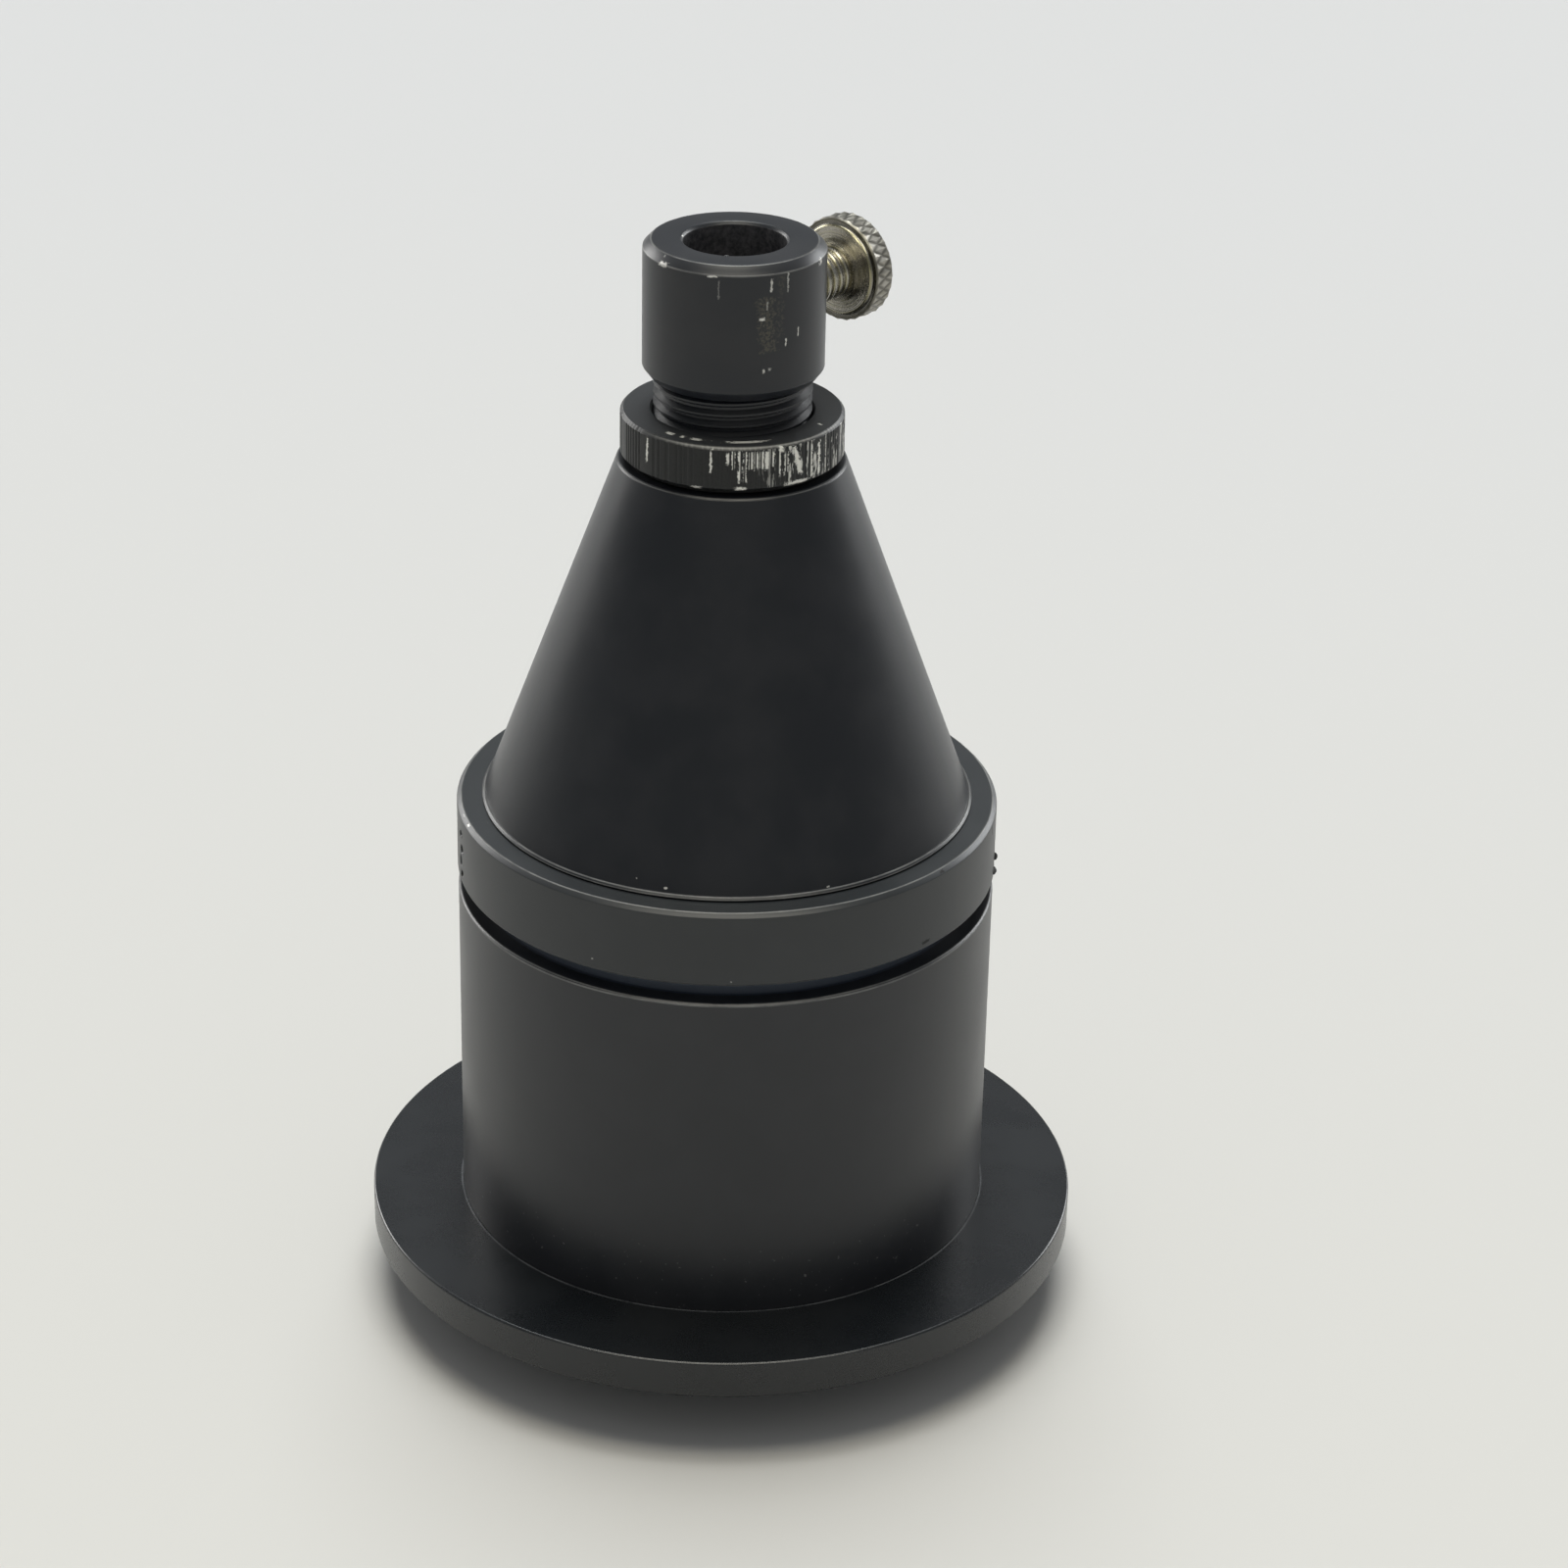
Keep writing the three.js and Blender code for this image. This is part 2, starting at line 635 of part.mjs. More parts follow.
const coneUnit = new THREE.Group();
coneUnit.add(
  piece("cone_housing", coneHousing(), anodised),
  piece(
    "cone_baffle",
    ring(BAFFLE.aperture, skirtBore - RUNNING_CLEARANCE, baffleZ, baffleZ + BAFFLE.thickness, MEDIUM),
    matteBlack,
  ),
  piece("collar_snap_ring", snapRing(), steel),
  piece("focusing_collar", focusingCollar(), satinAnodised),
  piece("lock_washer", ring(stemHole, washerRadius, washerZ, washerZ + WASHER.thickness, MEDIUM), rubber),
  piece("lock_ring", lockRing(), satinAnodised),
);

const holderUnit = new THREE.Group();
holderUnit.add(piece("ferrule_holder", ferruleHolder(), anodised), piece("stem_o_ring", stemORing(), rubber));
const clamp = new THREE.Group();
clamp.position.z = thumbscrewZ;
clamp.rotation.z = THUMBSCREW.angle;
clamp.add(piece("thumbscrew", thumbscrew(), nickel), piece("thumbscrew_tip", screwTip(), nylon));
holderUnit.add(clamp);

collimator.add(base, coneUnit, holderUnit);

export default collimator;
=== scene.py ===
"""A black anodised laser collimator, standing on the spigot of its mounting flange.

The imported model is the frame. Each sub-assembly is a class that holds its own sizes in millimetres,
models its pieces with Blender's operators, and dresses them. Azimuths are counted from +X towards +Y.
"""

import logging
import math
from dataclasses import dataclass
from enum import Enum
from typing import Any, Callable, Iterable, Sequence, Union

import bpy
from mathutils import Matrix, Vector


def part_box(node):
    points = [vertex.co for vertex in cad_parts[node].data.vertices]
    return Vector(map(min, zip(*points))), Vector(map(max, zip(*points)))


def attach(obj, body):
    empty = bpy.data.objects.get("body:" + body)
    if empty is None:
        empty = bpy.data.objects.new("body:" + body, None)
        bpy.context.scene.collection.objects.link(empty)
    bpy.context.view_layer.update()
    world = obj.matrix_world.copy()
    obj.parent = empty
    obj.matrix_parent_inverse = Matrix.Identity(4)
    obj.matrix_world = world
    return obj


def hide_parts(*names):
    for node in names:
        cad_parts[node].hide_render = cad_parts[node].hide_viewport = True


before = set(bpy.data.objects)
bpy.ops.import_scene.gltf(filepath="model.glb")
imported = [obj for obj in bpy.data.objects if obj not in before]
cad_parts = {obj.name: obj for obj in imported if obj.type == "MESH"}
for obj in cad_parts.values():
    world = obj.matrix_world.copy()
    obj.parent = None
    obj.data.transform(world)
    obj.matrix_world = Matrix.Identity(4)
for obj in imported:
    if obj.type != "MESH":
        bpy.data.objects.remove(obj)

log = logging.getLogger("collimator")

MM = 0.001
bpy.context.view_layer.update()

# Vertices round a turned piece.
FINEST = 256
FINE = 192
MEDIUM = 128
SMALL = 64
TINY = 24
HEX = 6

# In millimetres: how far a tool runs past the faces that it cuts, and how near counts as the same.
PAST = 1.0
NEAR = 0.01

# The least angle in degrees between two faces whose edge is broken.
SHARP = 28

Profile = Sequence[tuple[float, float]]
Surface = Callable[[float], float]
Colour = tuple[float, float, float]
Operand = Union["Signal", float]
Paint = Union["Signal", Colour]
Key = Union[int, str]


# ---------------------------------------------------------------- bench tools


def clear_bench() -> None:
    """Leaves edit mode and deselects everything."""
    if bpy.context.mode != "OBJECT":
        bpy.ops.object.mode_set(mode="OBJECT")
    bpy.ops.object.select_all(action="DESELECT")


def direction(azimuth: float) -> Vector:
    """The level unit vector at an azimuth in degrees."""
    turn = math.radians(azimuth)
    return Vector((math.cos(turn), math.sin(turn), 0.0))


def sag(surface: float, radius: float) -> float:
    """How far a spherical surface falls back at a radius from its middle."""
    return surface - math.sqrt(surface * surface - radius * radius)


def rounded(radius: float, height: float, size: float, steps: int = 4) -> list[tuple[float, float]]:
    """A rounded upper corner of a turned piece.

    Args:
        radius: Where the side would meet the end face.
        height: The end face's height.
        size: The round's radius.
        steps: Stretches in the round.

    Returns:
        The round's points, from the side to the end face.
    """
    turns = [math.pi / 2 * i / steps for i in range(steps + 1)]
    return [
        (radius - size + size * math.cos(turn), height + size * (math.sin(turn) - 1)) for turn in turns
    ]


class Workpiece:
    """One mesh on the bench, shaped in edit mode. Sizes are in millimetres."""

    def __init__(self, obj: bpy.types.Object) -> None:
        """Takes a primitive that was just added."""
        self.obj = obj

    @classmethod
    def turned(cls, name: str, profile: Profile, segments: int = FINE, solid: bool = False) -> "Workpiece":
        """Models a turned piece by extruding a ring along a profile.

        Args:
            name: The piece's name.
            profile: The [radius, height] points that the ring passes through.
            segments: Vertices in the ring.
            solid: True closes both ends with a face. False joins the last ring to the first.

        Returns:
            The piece, with its normals outwards.
        """
        clear_bench()
        radius, height = profile[0]
        bpy.ops.mesh.primitive_circle_add(
            vertices=segments, radius=radius * MM, location=(0, 0, height * MM), fill_type="NOTHING"
        )
        piece = cls(bpy.context.object)
        piece.obj.name = piece.obj.data.name = name
        piece.settle()
        bpy.ops.object.mode_set(mode="EDIT")
        bpy.ops.mesh.select_all(action="SELECT")
        for to_radius, to_height in [*profile[1:], *([] if solid else profile[:1])]:
            bpy.ops.mesh.extrude_region_move(
                TRANSFORM_OT_translate={"value": (0, 0, (to_height - height) * MM)}
            )
            share = to_radius / radius
            bpy.ops.transform.resize(value=(share, share, 1), center_override=(0, 0, 0))
            radius, height = to_radius, to_height
        piece.close()
        return piece

    def close(self) -> None:
        """Merges doubled vertices, fills open ends and turns every face outwards."""
        bpy.ops.mesh.select_all(action="SELECT")
        bpy.ops.mesh.remove_doubles(threshold=1e-7)
        bpy.ops.mesh.fill_holes(sides=0)
        bpy.ops.mesh.select_all(action="SELECT")
        bpy.ops.mesh.normals_make_consistent(inside=False)
        bpy.ops.object.mode_set(mode="OBJECT")

    def take_up(self) -> None:
        """Makes this the only selected object, and the active one."""
        clear_bench()
        self.obj.select_set(True)
        bpy.context.view_layer.objects.active = self.obj

    def settle(self) -> "Workpiece":
        """Moves the object's place, turn and scale into its mesh.

        Returns:
            The same piece.
        """
        self.take_up()
        bpy.ops.object.transform_apply(location=True, rotation=True, scale=True)
        return self

    def lay_along(self, azimuth: float, height: float) -> "Workpiece":
        """Lays a piece that was turned about +Z along a level axis.

        Args:
            azimuth: The axis's azimuth in degrees.
            height: The axis's height.

        Returns:
            The same piece.
        """
        self.obj.rotation_euler = (0, math.pi / 2, math.radians(azimuth))
        self.obj.location = (0, 0, height * MM)
        return self.settle()

    def move(self, x: float, y: float, z: float) -> "Workpiece":
        """Moves the piece."""
        self.obj.location = (x * MM, y * MM, z * MM)
        return self.settle()

    def select_vertices(self, wanted: Callable[[Vector], bool]) -> None:
        """Selects the vertices whose place passes a test, and stays in edit mode.

        Args:
            wanted: Says whether a vertex is wanted, by its place in millimetres.
        """
        self.take_up()
        bpy.ops.object.mode_set(mode="EDIT")
        bpy.ops.mesh.select_mode(type="VERT")
        bpy.ops.mesh.select_all(action="DESELECT")
        bpy.ops.object.mode_set(mode="OBJECT")
        for vertex in self.obj.data.vertices:
            vertex.select = wanted(vertex.co / MM)
        bpy.ops.object.mode_set(mode="EDIT")

    def apply_modifier(self, kind: str, **settings: Any) -> "Workpiece":
        """Adds a modifier and applies it.

        Args:
            kind: The modifier's type.
            settings: Its properties, by name.

        Returns:
            The same piece.
        """
        self.take_up()
        bpy.ops.object.modifier_add(type=kind)
        modifier = self.obj.modifiers[-1]
        for key, value in settings.items():
            setattr(modifier, key, value)
        bpy.ops.object.modifier_apply(modifier=modifier.name)
        return self

    def soften(self, width: float) -> "Workpiece":
        """Breaks every sharp edge by a small round."""
        return self.apply_modifier(
            "BEVEL", width=width * MM, segments=2, limit_method="ANGLE", angle_limit=math.radians(SHARP)
        )

    def carve(self, *tools: "Workpiece") -> "Workpiece":
        """Cuts each tool out of the piece and throws the tool away.

        Args:
            tools: Closed meshes.

        Returns:
            The same piece.
        """
        for tool in tools:
            self.apply_modifier("BOOLEAN", operation="DIFFERENCE", solver="EXACT", object=tool.obj)
            bpy.data.objects.remove(tool.obj, do_unlink=True)
        return self

    def join(self, *others: "Workpiece") -> "Workpiece":
        """Makes other meshes part of this one.

        Args:
            others: The pieces that are taken in.

        Returns:
            The same piece.
        """
        self.take_up()
        for other in others:
            other.obj.select_set(True)
        bpy.context.view_layer.objects.active = self.obj
        bpy.ops.object.join()
        return self

    def copy(self, name: str) -> "Workpiece":
        """Copies the piece with its mesh.

        Args:
            name: The copy's name.

        Returns:
            The copy, with a mesh of its own.
        """
        self.take_up()
        bpy.ops.object.duplicate(linked=False)
        made = Workpiece(bpy.context.object)
        made.obj.name = made.obj.data.name = name
        return made

    def finish(self, body: str, slot: str, *nodes: str, smooth: float = 30) -> bpy.types.Object:
        """Shades the piece, puts it on its body and lets it stand for its nodes.

        Args:
            body: The body that it rides on.
            slot: Not used.
            nodes: The nodes that it replaces.
            smooth: The angle in degrees up to which its faces are shaded as one surface.

        Returns:
            The finished object.
        """
        self.take_up()
        bpy.ops.object.shade_smooth_by_angle(angle=math.radians(smooth))
        self.apply_modifier("WEIGHTED_NORMAL", mode="FACE_AREA", weight=100, keep_sharp=True)
        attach(self.obj, body)
        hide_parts(*nodes)
        log.info("%s: %d faces, rides on %s", self.obj.name, len(self.obj.data.polygons), body)
        return self.obj


def drill(radius: float, bottom: float, top: float, segments: int = SMALL) -> Workpiece:
    """A straight round cutting tool along +Z."""
    return Workpiece.turned("drill", [(radius, bottom), (radius, top)], segments, solid=True)


def block(across: float, wide: float, tall: float, azimuth: float = 0.0) -> Workpiece:
    """A square cutting tool about the origin.

    Args:
        across: Its size along the azimuth.
        wide: Its size square to that, level.
        tall: Its height.
        azimuth: The way that it is turned, in degrees.

    Returns:
        The tool, which takes its turn when it is moved to its place.
    """
    clear_bench()
    bpy.ops.mesh.primitive_cube_add(size=1)
    tool = Workpiece(bpy.context.object)
    tool.obj.scale = (across * MM, wide * MM, tall * MM)
    tool.settle()
    tool.obj.rotation_euler.z = math.radians(azimuth)
    return tool


def lump(size: float, uneven: float, seed: int) -> Workpiece:
    """A small uneven ball about the origin.

    Args:
        size: Its radius.
        uneven: How far its vertices are moved, as a share of the radius.
        seed: The seed of those moves.

    Returns:
        The ball.
    """
    clear_bench()
    bpy.ops.mesh.primitive_ico_sphere_add(subdivisions=3, radius=size * MM)
    ball = Workpiece(bpy.context.object)
    bpy.ops.object.mode_set(mode="EDIT")
    bpy.ops.mesh.select_all(action="SELECT")
    bpy.ops.transform.vertex_random(offset=size * uneven * MM, seed=seed)
    bpy.ops.object.mode_set(mode="OBJECT")
    return ball


def thread_ridge(
    root: float, crest: float, pitch: float, bottom: float, turns: int, steps: int
) -> Workpiece:
    """One right-handed thread ridge about +Z.

    Args:
        root: Radius at the foot of the ridge.
        crest: Radius at its top.
        pitch: Rise in one turn.
        bottom: Height of the middle of its lower end.
        turns: Whole turns.
        steps: Steps in a turn.

    Returns:
        The ridge as a closed mesh, which sinks a little into the core that it is joined to.
    """
    sunk = 0.08
    foot = pitch * 0.9
    crest_share = 0.2
    clear_bench()
    bpy.ops.mesh.primitive_plane_add(size=1, rotation=(math.pi / 2, 0, 0))
    ridge = Workpiece(bpy.context.object)
    ridge.obj.scale = ((crest - root + sunk) * MM, foot * MM, 1)
    ridge.obj.location = ((crest + root - sunk) / 2 * MM, 0, bottom * MM)
    ridge.settle()
    ridge.select_vertices(lambda place: place.x > (crest + root) / 2)
    bpy.ops.transform.resize(value=(1, 1, crest_share), center_override=(0, 0, bottom * MM))
    bpy.ops.mesh.select_all(action="SELECT")
    bpy.ops.mesh.delete(type="ONLY_FACE")
    bpy.ops.object.mode_set(mode="OBJECT")
    ridge.apply_modifier(
        "SCREW",
        axis="Z",
        angle=math.tau,
        screw_offset=pitch * MM,
        iterations=turns,
        steps=steps,
        render_steps=steps,
    )
    bpy.ops.object.mode_set(mode="EDIT")
    ridge.close()
    return ridge


# ---------------------------------------------------------------- shader tools


class Signal:
    """A shader socket that arithmetic works on. Each operation adds one Math node."""

    def __init__(self, graph: "Graph", socket: bpy.types.NodeSocket) -> None:
        """Wraps an output socket of a graph."""
        self.graph = graph
        self.socket = socket

    def _op(self, operation: str, left: Operand, right: Operand) -> "Signal":
        """A Math node with two inputs."""
        return self.graph.add("ShaderNodeMath", {"operation": operation}, {0: left, 1: right})

    def __add__(self, other: Operand) -> "Signal":
        """self + other"""
        return self._op("ADD", self, other)

    def __radd__(self, other: Operand) -> "Signal":
        """other + self"""
        return self._op("ADD", other, self)

    def __sub__(self, other: Operand) -> "Signal":
        """self - other"""
        return self._op("SUBTRACT", self, other)

    def __rsub__(self, other: Operand) -> "Signal":
        """other - self"""
        return self._op("SUBTRACT", other, self)

    def __mul__(self, other: Operand) -> "Signal":
        """self * other"""
        return self._op("MULTIPLY", self, other)

    def __rmul__(self, other: Operand) -> "Signal":
        """other * self"""
        return self._op("MULTIPLY", other, self)

    def __pow__(self, other: Operand) -> "Signal":
        """self ** other"""
        return self._op("POWER", self, other)

    def __rpow__(self, other: Operand) -> "Signal":
        """other ** self"""
        return self._op("POWER", other, self)

    def __abs__(self) -> "Signal":
        """abs(self)"""
        return self.graph.add("ShaderNodeMath", {"operation": "ABSOLUTE"}, {0: self})

    def at_least(self, other: Operand) -> "Signal":
        """The larger of the two."""
        return self._op("MAXIMUM", self, other)

    def rise(self, low: float, high: float) -> "Signal":
        """0 at low or less and 1 at high or more, smooth between. low may be the larger."""
        return self.graph.add(
            "ShaderNodeMapRange",
            {"interpolation_type": "SMOOTHSTEP"},
            {"Value": self, "From Min": low, "From Max": high},
            "Result",
        )


class Graph:
    """The node tree of one material."""

    def __init__(self, material: bpy.types.Material) -> None:
        """Starts from an empty tree with one output.

        Args:
            material: The material, which takes the tree.
        """
        material.use_nodes = True
        self.tree = material.node_tree
        self.tree.nodes.clear()
        self.output = self.tree.nodes.new("ShaderNodeOutputMaterial")

    def add(self, kind: str, settings: dict[str, Any], inputs: dict[Key, Any], result: Key = 0) -> Signal:
        """Adds a node.

        Args:
            kind: The node's type.
            settings: Its properties, which are set first.
            inputs: Socket name or number to a value or a Signal.
            result: The name or number of the output that is wanted.

        Returns:
            The output as a Signal.
        """
        node = self.tree.nodes.new(kind)
        for key, value in settings.items():
            setattr(node, key, value)
        for key, value in inputs.items():
            socket = node.inputs[key]
            if isinstance(value, Signal):
                self.tree.links.new(value.socket, socket)
            else:
                socket.default_value = value
        return Signal(self, node.outputs[result])

    def place(self, centre: Sequence[float] = (0, 0, 0), turn: Sequence[float] = (0, 0, 0)) -> Signal:
        """The point on the surface in millimetres.

        Args:
            centre: The centre that it is counted from.
            turn: The turn of the axes that it is counted along, as Euler angles in radians.

        Returns:
            The point.
        """
        coordinates = self.add("ShaderNodeTexCoord", {}, {}, "Object")
        location = [c * MM for c in centre]
        return self.add(
            "ShaderNodeMapping",
            {"vector_type": "TEXTURE"},
            {"Vector": coordinates, "Location": location, "Rotation": turn, "Scale": (MM, MM, MM)},
        )

    def along(self, place: Signal, axis: Sequence[float]) -> Signal:
        """How far a point lies along an axis."""
        return self.add("ShaderNodeVectorMath", {"operation": "DOT_PRODUCT"}, {0: place, 1: axis}, "Value")

    def height(self, place: Signal) -> Signal:
        """The height of a point."""
        return self.along(place, (0, 0, 1))

    def from_axis(self, place: Signal) -> Signal:
        """The distance from the Z axis."""
        flat = self.add("ShaderNodeVectorMath", {"operation": "MULTIPLY"}, {0: place, 1: (1, 1, 0)}, "Vector")
        return self.add("ShaderNodeVectorMath", {"operation": "LENGTH"}, {0: flat}, "Value")

    def stretch(self, place: Signal, scale: Sequence[float]) -> Signal:
        """The point with each coordinate scaled."""
        return self.add("ShaderNodeVectorMath", {"operation": "MULTIPLY"}, {0: place, 1: scale}, "Vector")

    def noise(self, place: Signal, scale: float, detail: float = 2, roughness: float = 0.5) -> Signal:
        """Noise from about 0.2 to 0.8 about a mean of a half."""
        return self.add(
            "ShaderNodeTexNoise",
            {"noise_dimensions": "3D"},
            {"Vector": place, "Scale": scale, "Detail": detail, "Roughness": roughness},
        )

    def line_noise(self, along: Signal, scale: float, detail: float = 2) -> Signal:
        """Noise that changes along one coordinate only."""
        return self.add(
            "ShaderNodeTexNoise",
            {"noise_dimensions": "1D"},
            {"W": along, "Scale": scale, "Detail": detail, "Roughness": 0.6},
        )

    def blend(self, share: Operand, first: Paint, second: Paint) -> Signal:
        """A colour between two, by a share."""
        return self.add(
            "ShaderNodeMix",
            {"data_type": "RGBA", "clamp_factor": True},
            {0: share, 6: _colour(first), 7: _colour(second)},
            2,
        )

    def bump(self, height: Signal, depth: float) -> Signal:
        """A Bump node. height is in shares of depth, which is in millimetres."""
        inputs = {"Height": height, "Strength": 1.0, "Distance": depth * MM}
        return self.add("ShaderNodeBump", {}, inputs, "Normal")

    def principled(self, inputs: dict[str, Any]) -> None:
        """Ends the tree in a Principled BSDF."""
        shader = self.add("ShaderNodeBsdfPrincipled", {}, inputs, "BSDF")
        self.tree.links.new(shader.socket, self.output.inputs["Surface"])


def _colour(value: Paint) -> Union[Signal, tuple[float, ...]]:
    """A colour with its alpha, or the Signal itself."""
    return value if isinstance(value, Signal) else (*value, 1.0)


# ---------------------------------------------------------------- wear


@dataclass(frozen=True)
class Mark:
    """A small mark on a turned surface: a stroke along the axis, or a speck.

    It stands at an azimuth, from one height to another, and is as wide as width. ragged says how far
    its sides wander, as a share of the width, and lean how far it leans sideways as it rises.
    """

    azimuth: float
    low: float
    high: float
    width: float
    strength: float = 1.0
    lean: float = 0.0
    ragged: float = 1.5

    def mask(self, graph: Graph, place: Signal, noise: Signal) -> Signal:
        """Where the mark is.

        Args:
            graph: The material's graph.
            place: The point on the surface.
            noise: The noise that its outline follows.

        Returns:
            Its strength on the mark and 0 off it.
        """
        out = direction(self.azimuth)
        across = graph.along(place, (-out.y, out.x, -self.lean)) + self.lean * (self.low + self.high) / 2
        height = graph.height(place)
        facing = graph.along(place, tuple(out)).rise(0, 1)
        half = self.width / 2
        full = half * 0.45
        side_wander = 0.12 + self.width * self.ragged
        beside = abs(across + (noise - 0.5) * side_wander).rise(half, full)
        tall = self.high - self.low
        fade = min(0.2, tall / 3)
        end_wander = min(1.4, 0.15 + tall * 0.6)
        end = height + (noise - 0.5) * end_wander
        within = end.rise(self.low, self.low + fade) * end.rise(self.high, self.high - fade)
        return beside * within * facing * self.strength


def all_marks(graph: Graph, place: Signal, marks: Sequence[Mark], grain: float = 3.2) -> Signal:
    """The strongest of several marks at each point.

    Args:
        graph: The material's graph.
        place: The point on the surface.
        marks: At least one mark.
        grain: How fine their edges are, in waves to the millimetre.

    Returns:
        1 on a full mark and 0 off all of them.
    """
    noise = graph.noise(place, grain, 3, 0.7)
    total = marks[0].mask(graph, place, noise)
    for mark in marks[1:]:
        total = total.at_least(mark.mask(graph, place, noise))
    return total


# ---------------------------------------------------------------- finishes


@dataclass(frozen=True)
class Anodised:
    """Satin black anodised aluminium with faint turning lines and marks of wear. Its listed edges are
    lightened, partly as rubbed anodising and partly as painted highlight lines; its lining is lighter as
    painted light falling into the bore or groove; and one bare mark on the cap is a painted glint.
    """

    name: str
    colour: Colour = (0.0098, 0.0116, 0.0152)
    faded: Colour = (0.0150, 0.0163, 0.0200)
    roughness: float = 0.36
    gloss: float = 0.42
    turning: float = 0.0022
    marks: tuple[Mark, ...] = ()
    stains: tuple[Mark, ...] = ()
    pits: tuple[Mark, ...] = ()
    # Turned edges whose black is lightened: partly rubbed anodising, partly painted highlight lines where
    # light picks the edges out.
    edges: tuple[tuple[float, float], ...] = ()
    # How far out the lining reaches: inside it the surface is rougher and mottled, and lighter as painted
    # light.
    lining: float = 0.0
    dust: float = 0.0
    bare: Colour = (0.62, 0.61, 0.58)
    stain: Colour = (0.085, 0.078, 0.055)
    pit: Colour = (0.002, 0.002, 0.002)
    # The lighter colour of those edges, which paints in highlight lines as well as rubbed anodising.
    edge: Colour = (0.20, 0.20, 0.195)
    specks: Colour = (0.22, 0.22, 0.21)
    # The lining's colour: lighter than the black to paint in the light that falls into the bore or groove.
    rough_and_lit_lining: Colour = (0.100, 0.094, 0.100)
    rough_relief: float = 6.0

    def on(self, *objects: bpy.types.Object) -> None:
        """Makes the material.

        Args:
            objects: The objects that it is given to.
        """
        material = bpy.data.materials.new(self.name)
        graph = Graph(material)
        place = graph.place()
        radius = graph.from_axis(place)
        height = graph.height(place)
        lines = graph.line_noise(radius + height, 5.5, 3)
        cloud = graph.noise(place, 0.16, 3)
        grain = graph.noise(place, 6.5, 2)
        colour = graph.blend(cloud.rise(0.35, 0.7), self.colour, self.faded)
        roughness = self.roughness + (cloud - 0.5) * 0.10 + (grain - 0.5) * 0.06
        metallic: Operand = 0.0
        relief = lines * 0.8 + grain * 0.9
        # Inside the lining radius: a rougher, mottled surface whose lighter colour is painted light falling
        # into the bore or groove.
        if self.lining:
            inside = radius.rise(self.lining + 0.04, self.lining)
            mottle = graph.noise(place, 2.2, 4, 0.7)
            patches: Operand = 1.0
            if self.rough_relief > 1:
                patches = (mottle * self.rough_relief).rise(1.8, 4.5)
            colour = graph.blend(inside * patches, colour, self.rough_and_lit_lining)
            roughness = roughness + inside * 0.25
            relief = relief + inside * mottle * self.rough_relief
        # Painted highlight lines along the listed edges, on top of rubbed anodising.
        if self.edges:
            patchy = graph.noise(place, 0.35, 4, 0.6).rise(0.25, 0.7)
            rubbed_and_highlit = self.on_edges(graph, radius, height) * (0.25 + patchy * 0.6)
            colour = graph.blend(rubbed_and_highlit, colour, self.edge)
        if self.dust:
            settled = graph.noise(place, 2.4, 2).rise(0.69, 0.74) * height.rise(self.dust, self.dust - 5)
            colour = graph.blend(settled * 0.45, colour, self.specks)
        if self.stains:
            mottle = graph.noise(place, 4.5, 5, 0.75).rise(0.44, 0.60)
            colour = graph.blend(all_marks(graph, place, self.stains, 1.2) * mottle, colour, self.stain)
        if self.pits:
            pitted = all_marks(graph, place, self.pits)
            colour = graph.blend(pitted, colour, self.pit)
            roughness = roughness + pitted * 0.5
        # Bare metal marks: wear, and on the cap also one painted glint in the bore's lead-in.
        if self.marks:
            bare_marks = all_marks(graph, place, self.marks)
            colour = graph.blend(bare_marks, colour, self.bare)
            roughness = roughness + bare_marks * 0.08
            metallic = bare_marks * 0.8
            relief = relief - bare_marks * 6.0
        graph.principled(
            {
                "Base Color": colour,
                "Roughness": roughness,
                "Metallic": metallic,
                "Normal": graph.bump(relief, self.turning),
                "Specular IOR Level": self.gloss,
            }
        )
        dress(material, objects)

    def on_edges(self, graph: Graph, radius: Signal, height: Signal) -> Signal:
        """Where the black is rubbed thin along the turned edges, and lightened there to paint in highlight
        lines.

        Args:
            graph: Not used.
            radius: The point's distance from the axis.
            height: The point's height.

        Returns:
            1 on an edge and 0 a tenth of a millimetre away.
        """
        near = [((radius - r) ** 2 + (height - h) ** 2).rise(0.012, 0.001) for r, h in self.edges]
        total = near[0]
        for line in near[1:]:
            total = total.at_least(line)
        return total


@dataclass(frozen=True)
class PlainSurface:
    """A plain material with a fine grain between two colours: rubber, steel, nylon or matte black."""

    name: str
    colour: Colour
    second: Colour
    roughness: float
    metallic: float = 0.0
    grain: float = 3.0
    relief: float = 0.003
    spread: float = 0.12

    def on(self, *objects: bpy.types.Object) -> None:
        """Makes the material.

        Args:
            objects: The objects that it is given to.
        """
        material = bpy.data.materials.new(self.name)
        graph = Graph(material)
        place = graph.place()
        grain = graph.noise(place, self.grain, 4, 0.6)
        turned = graph.line_noise(graph.from_axis(place) + graph.height(place), 7, 2)
        graph.principled(
            {
                "Base Color": graph.blend(grain.rise(0.3, 0.7), self.colour, self.second),
                "Roughness": self.roughness + (grain - 0.5) * self.spread,
                "Metallic": self.metallic,
                "Normal": graph.bump(grain + turned * 0.6, self.relief),
            }
        )
        dress(material, objects)


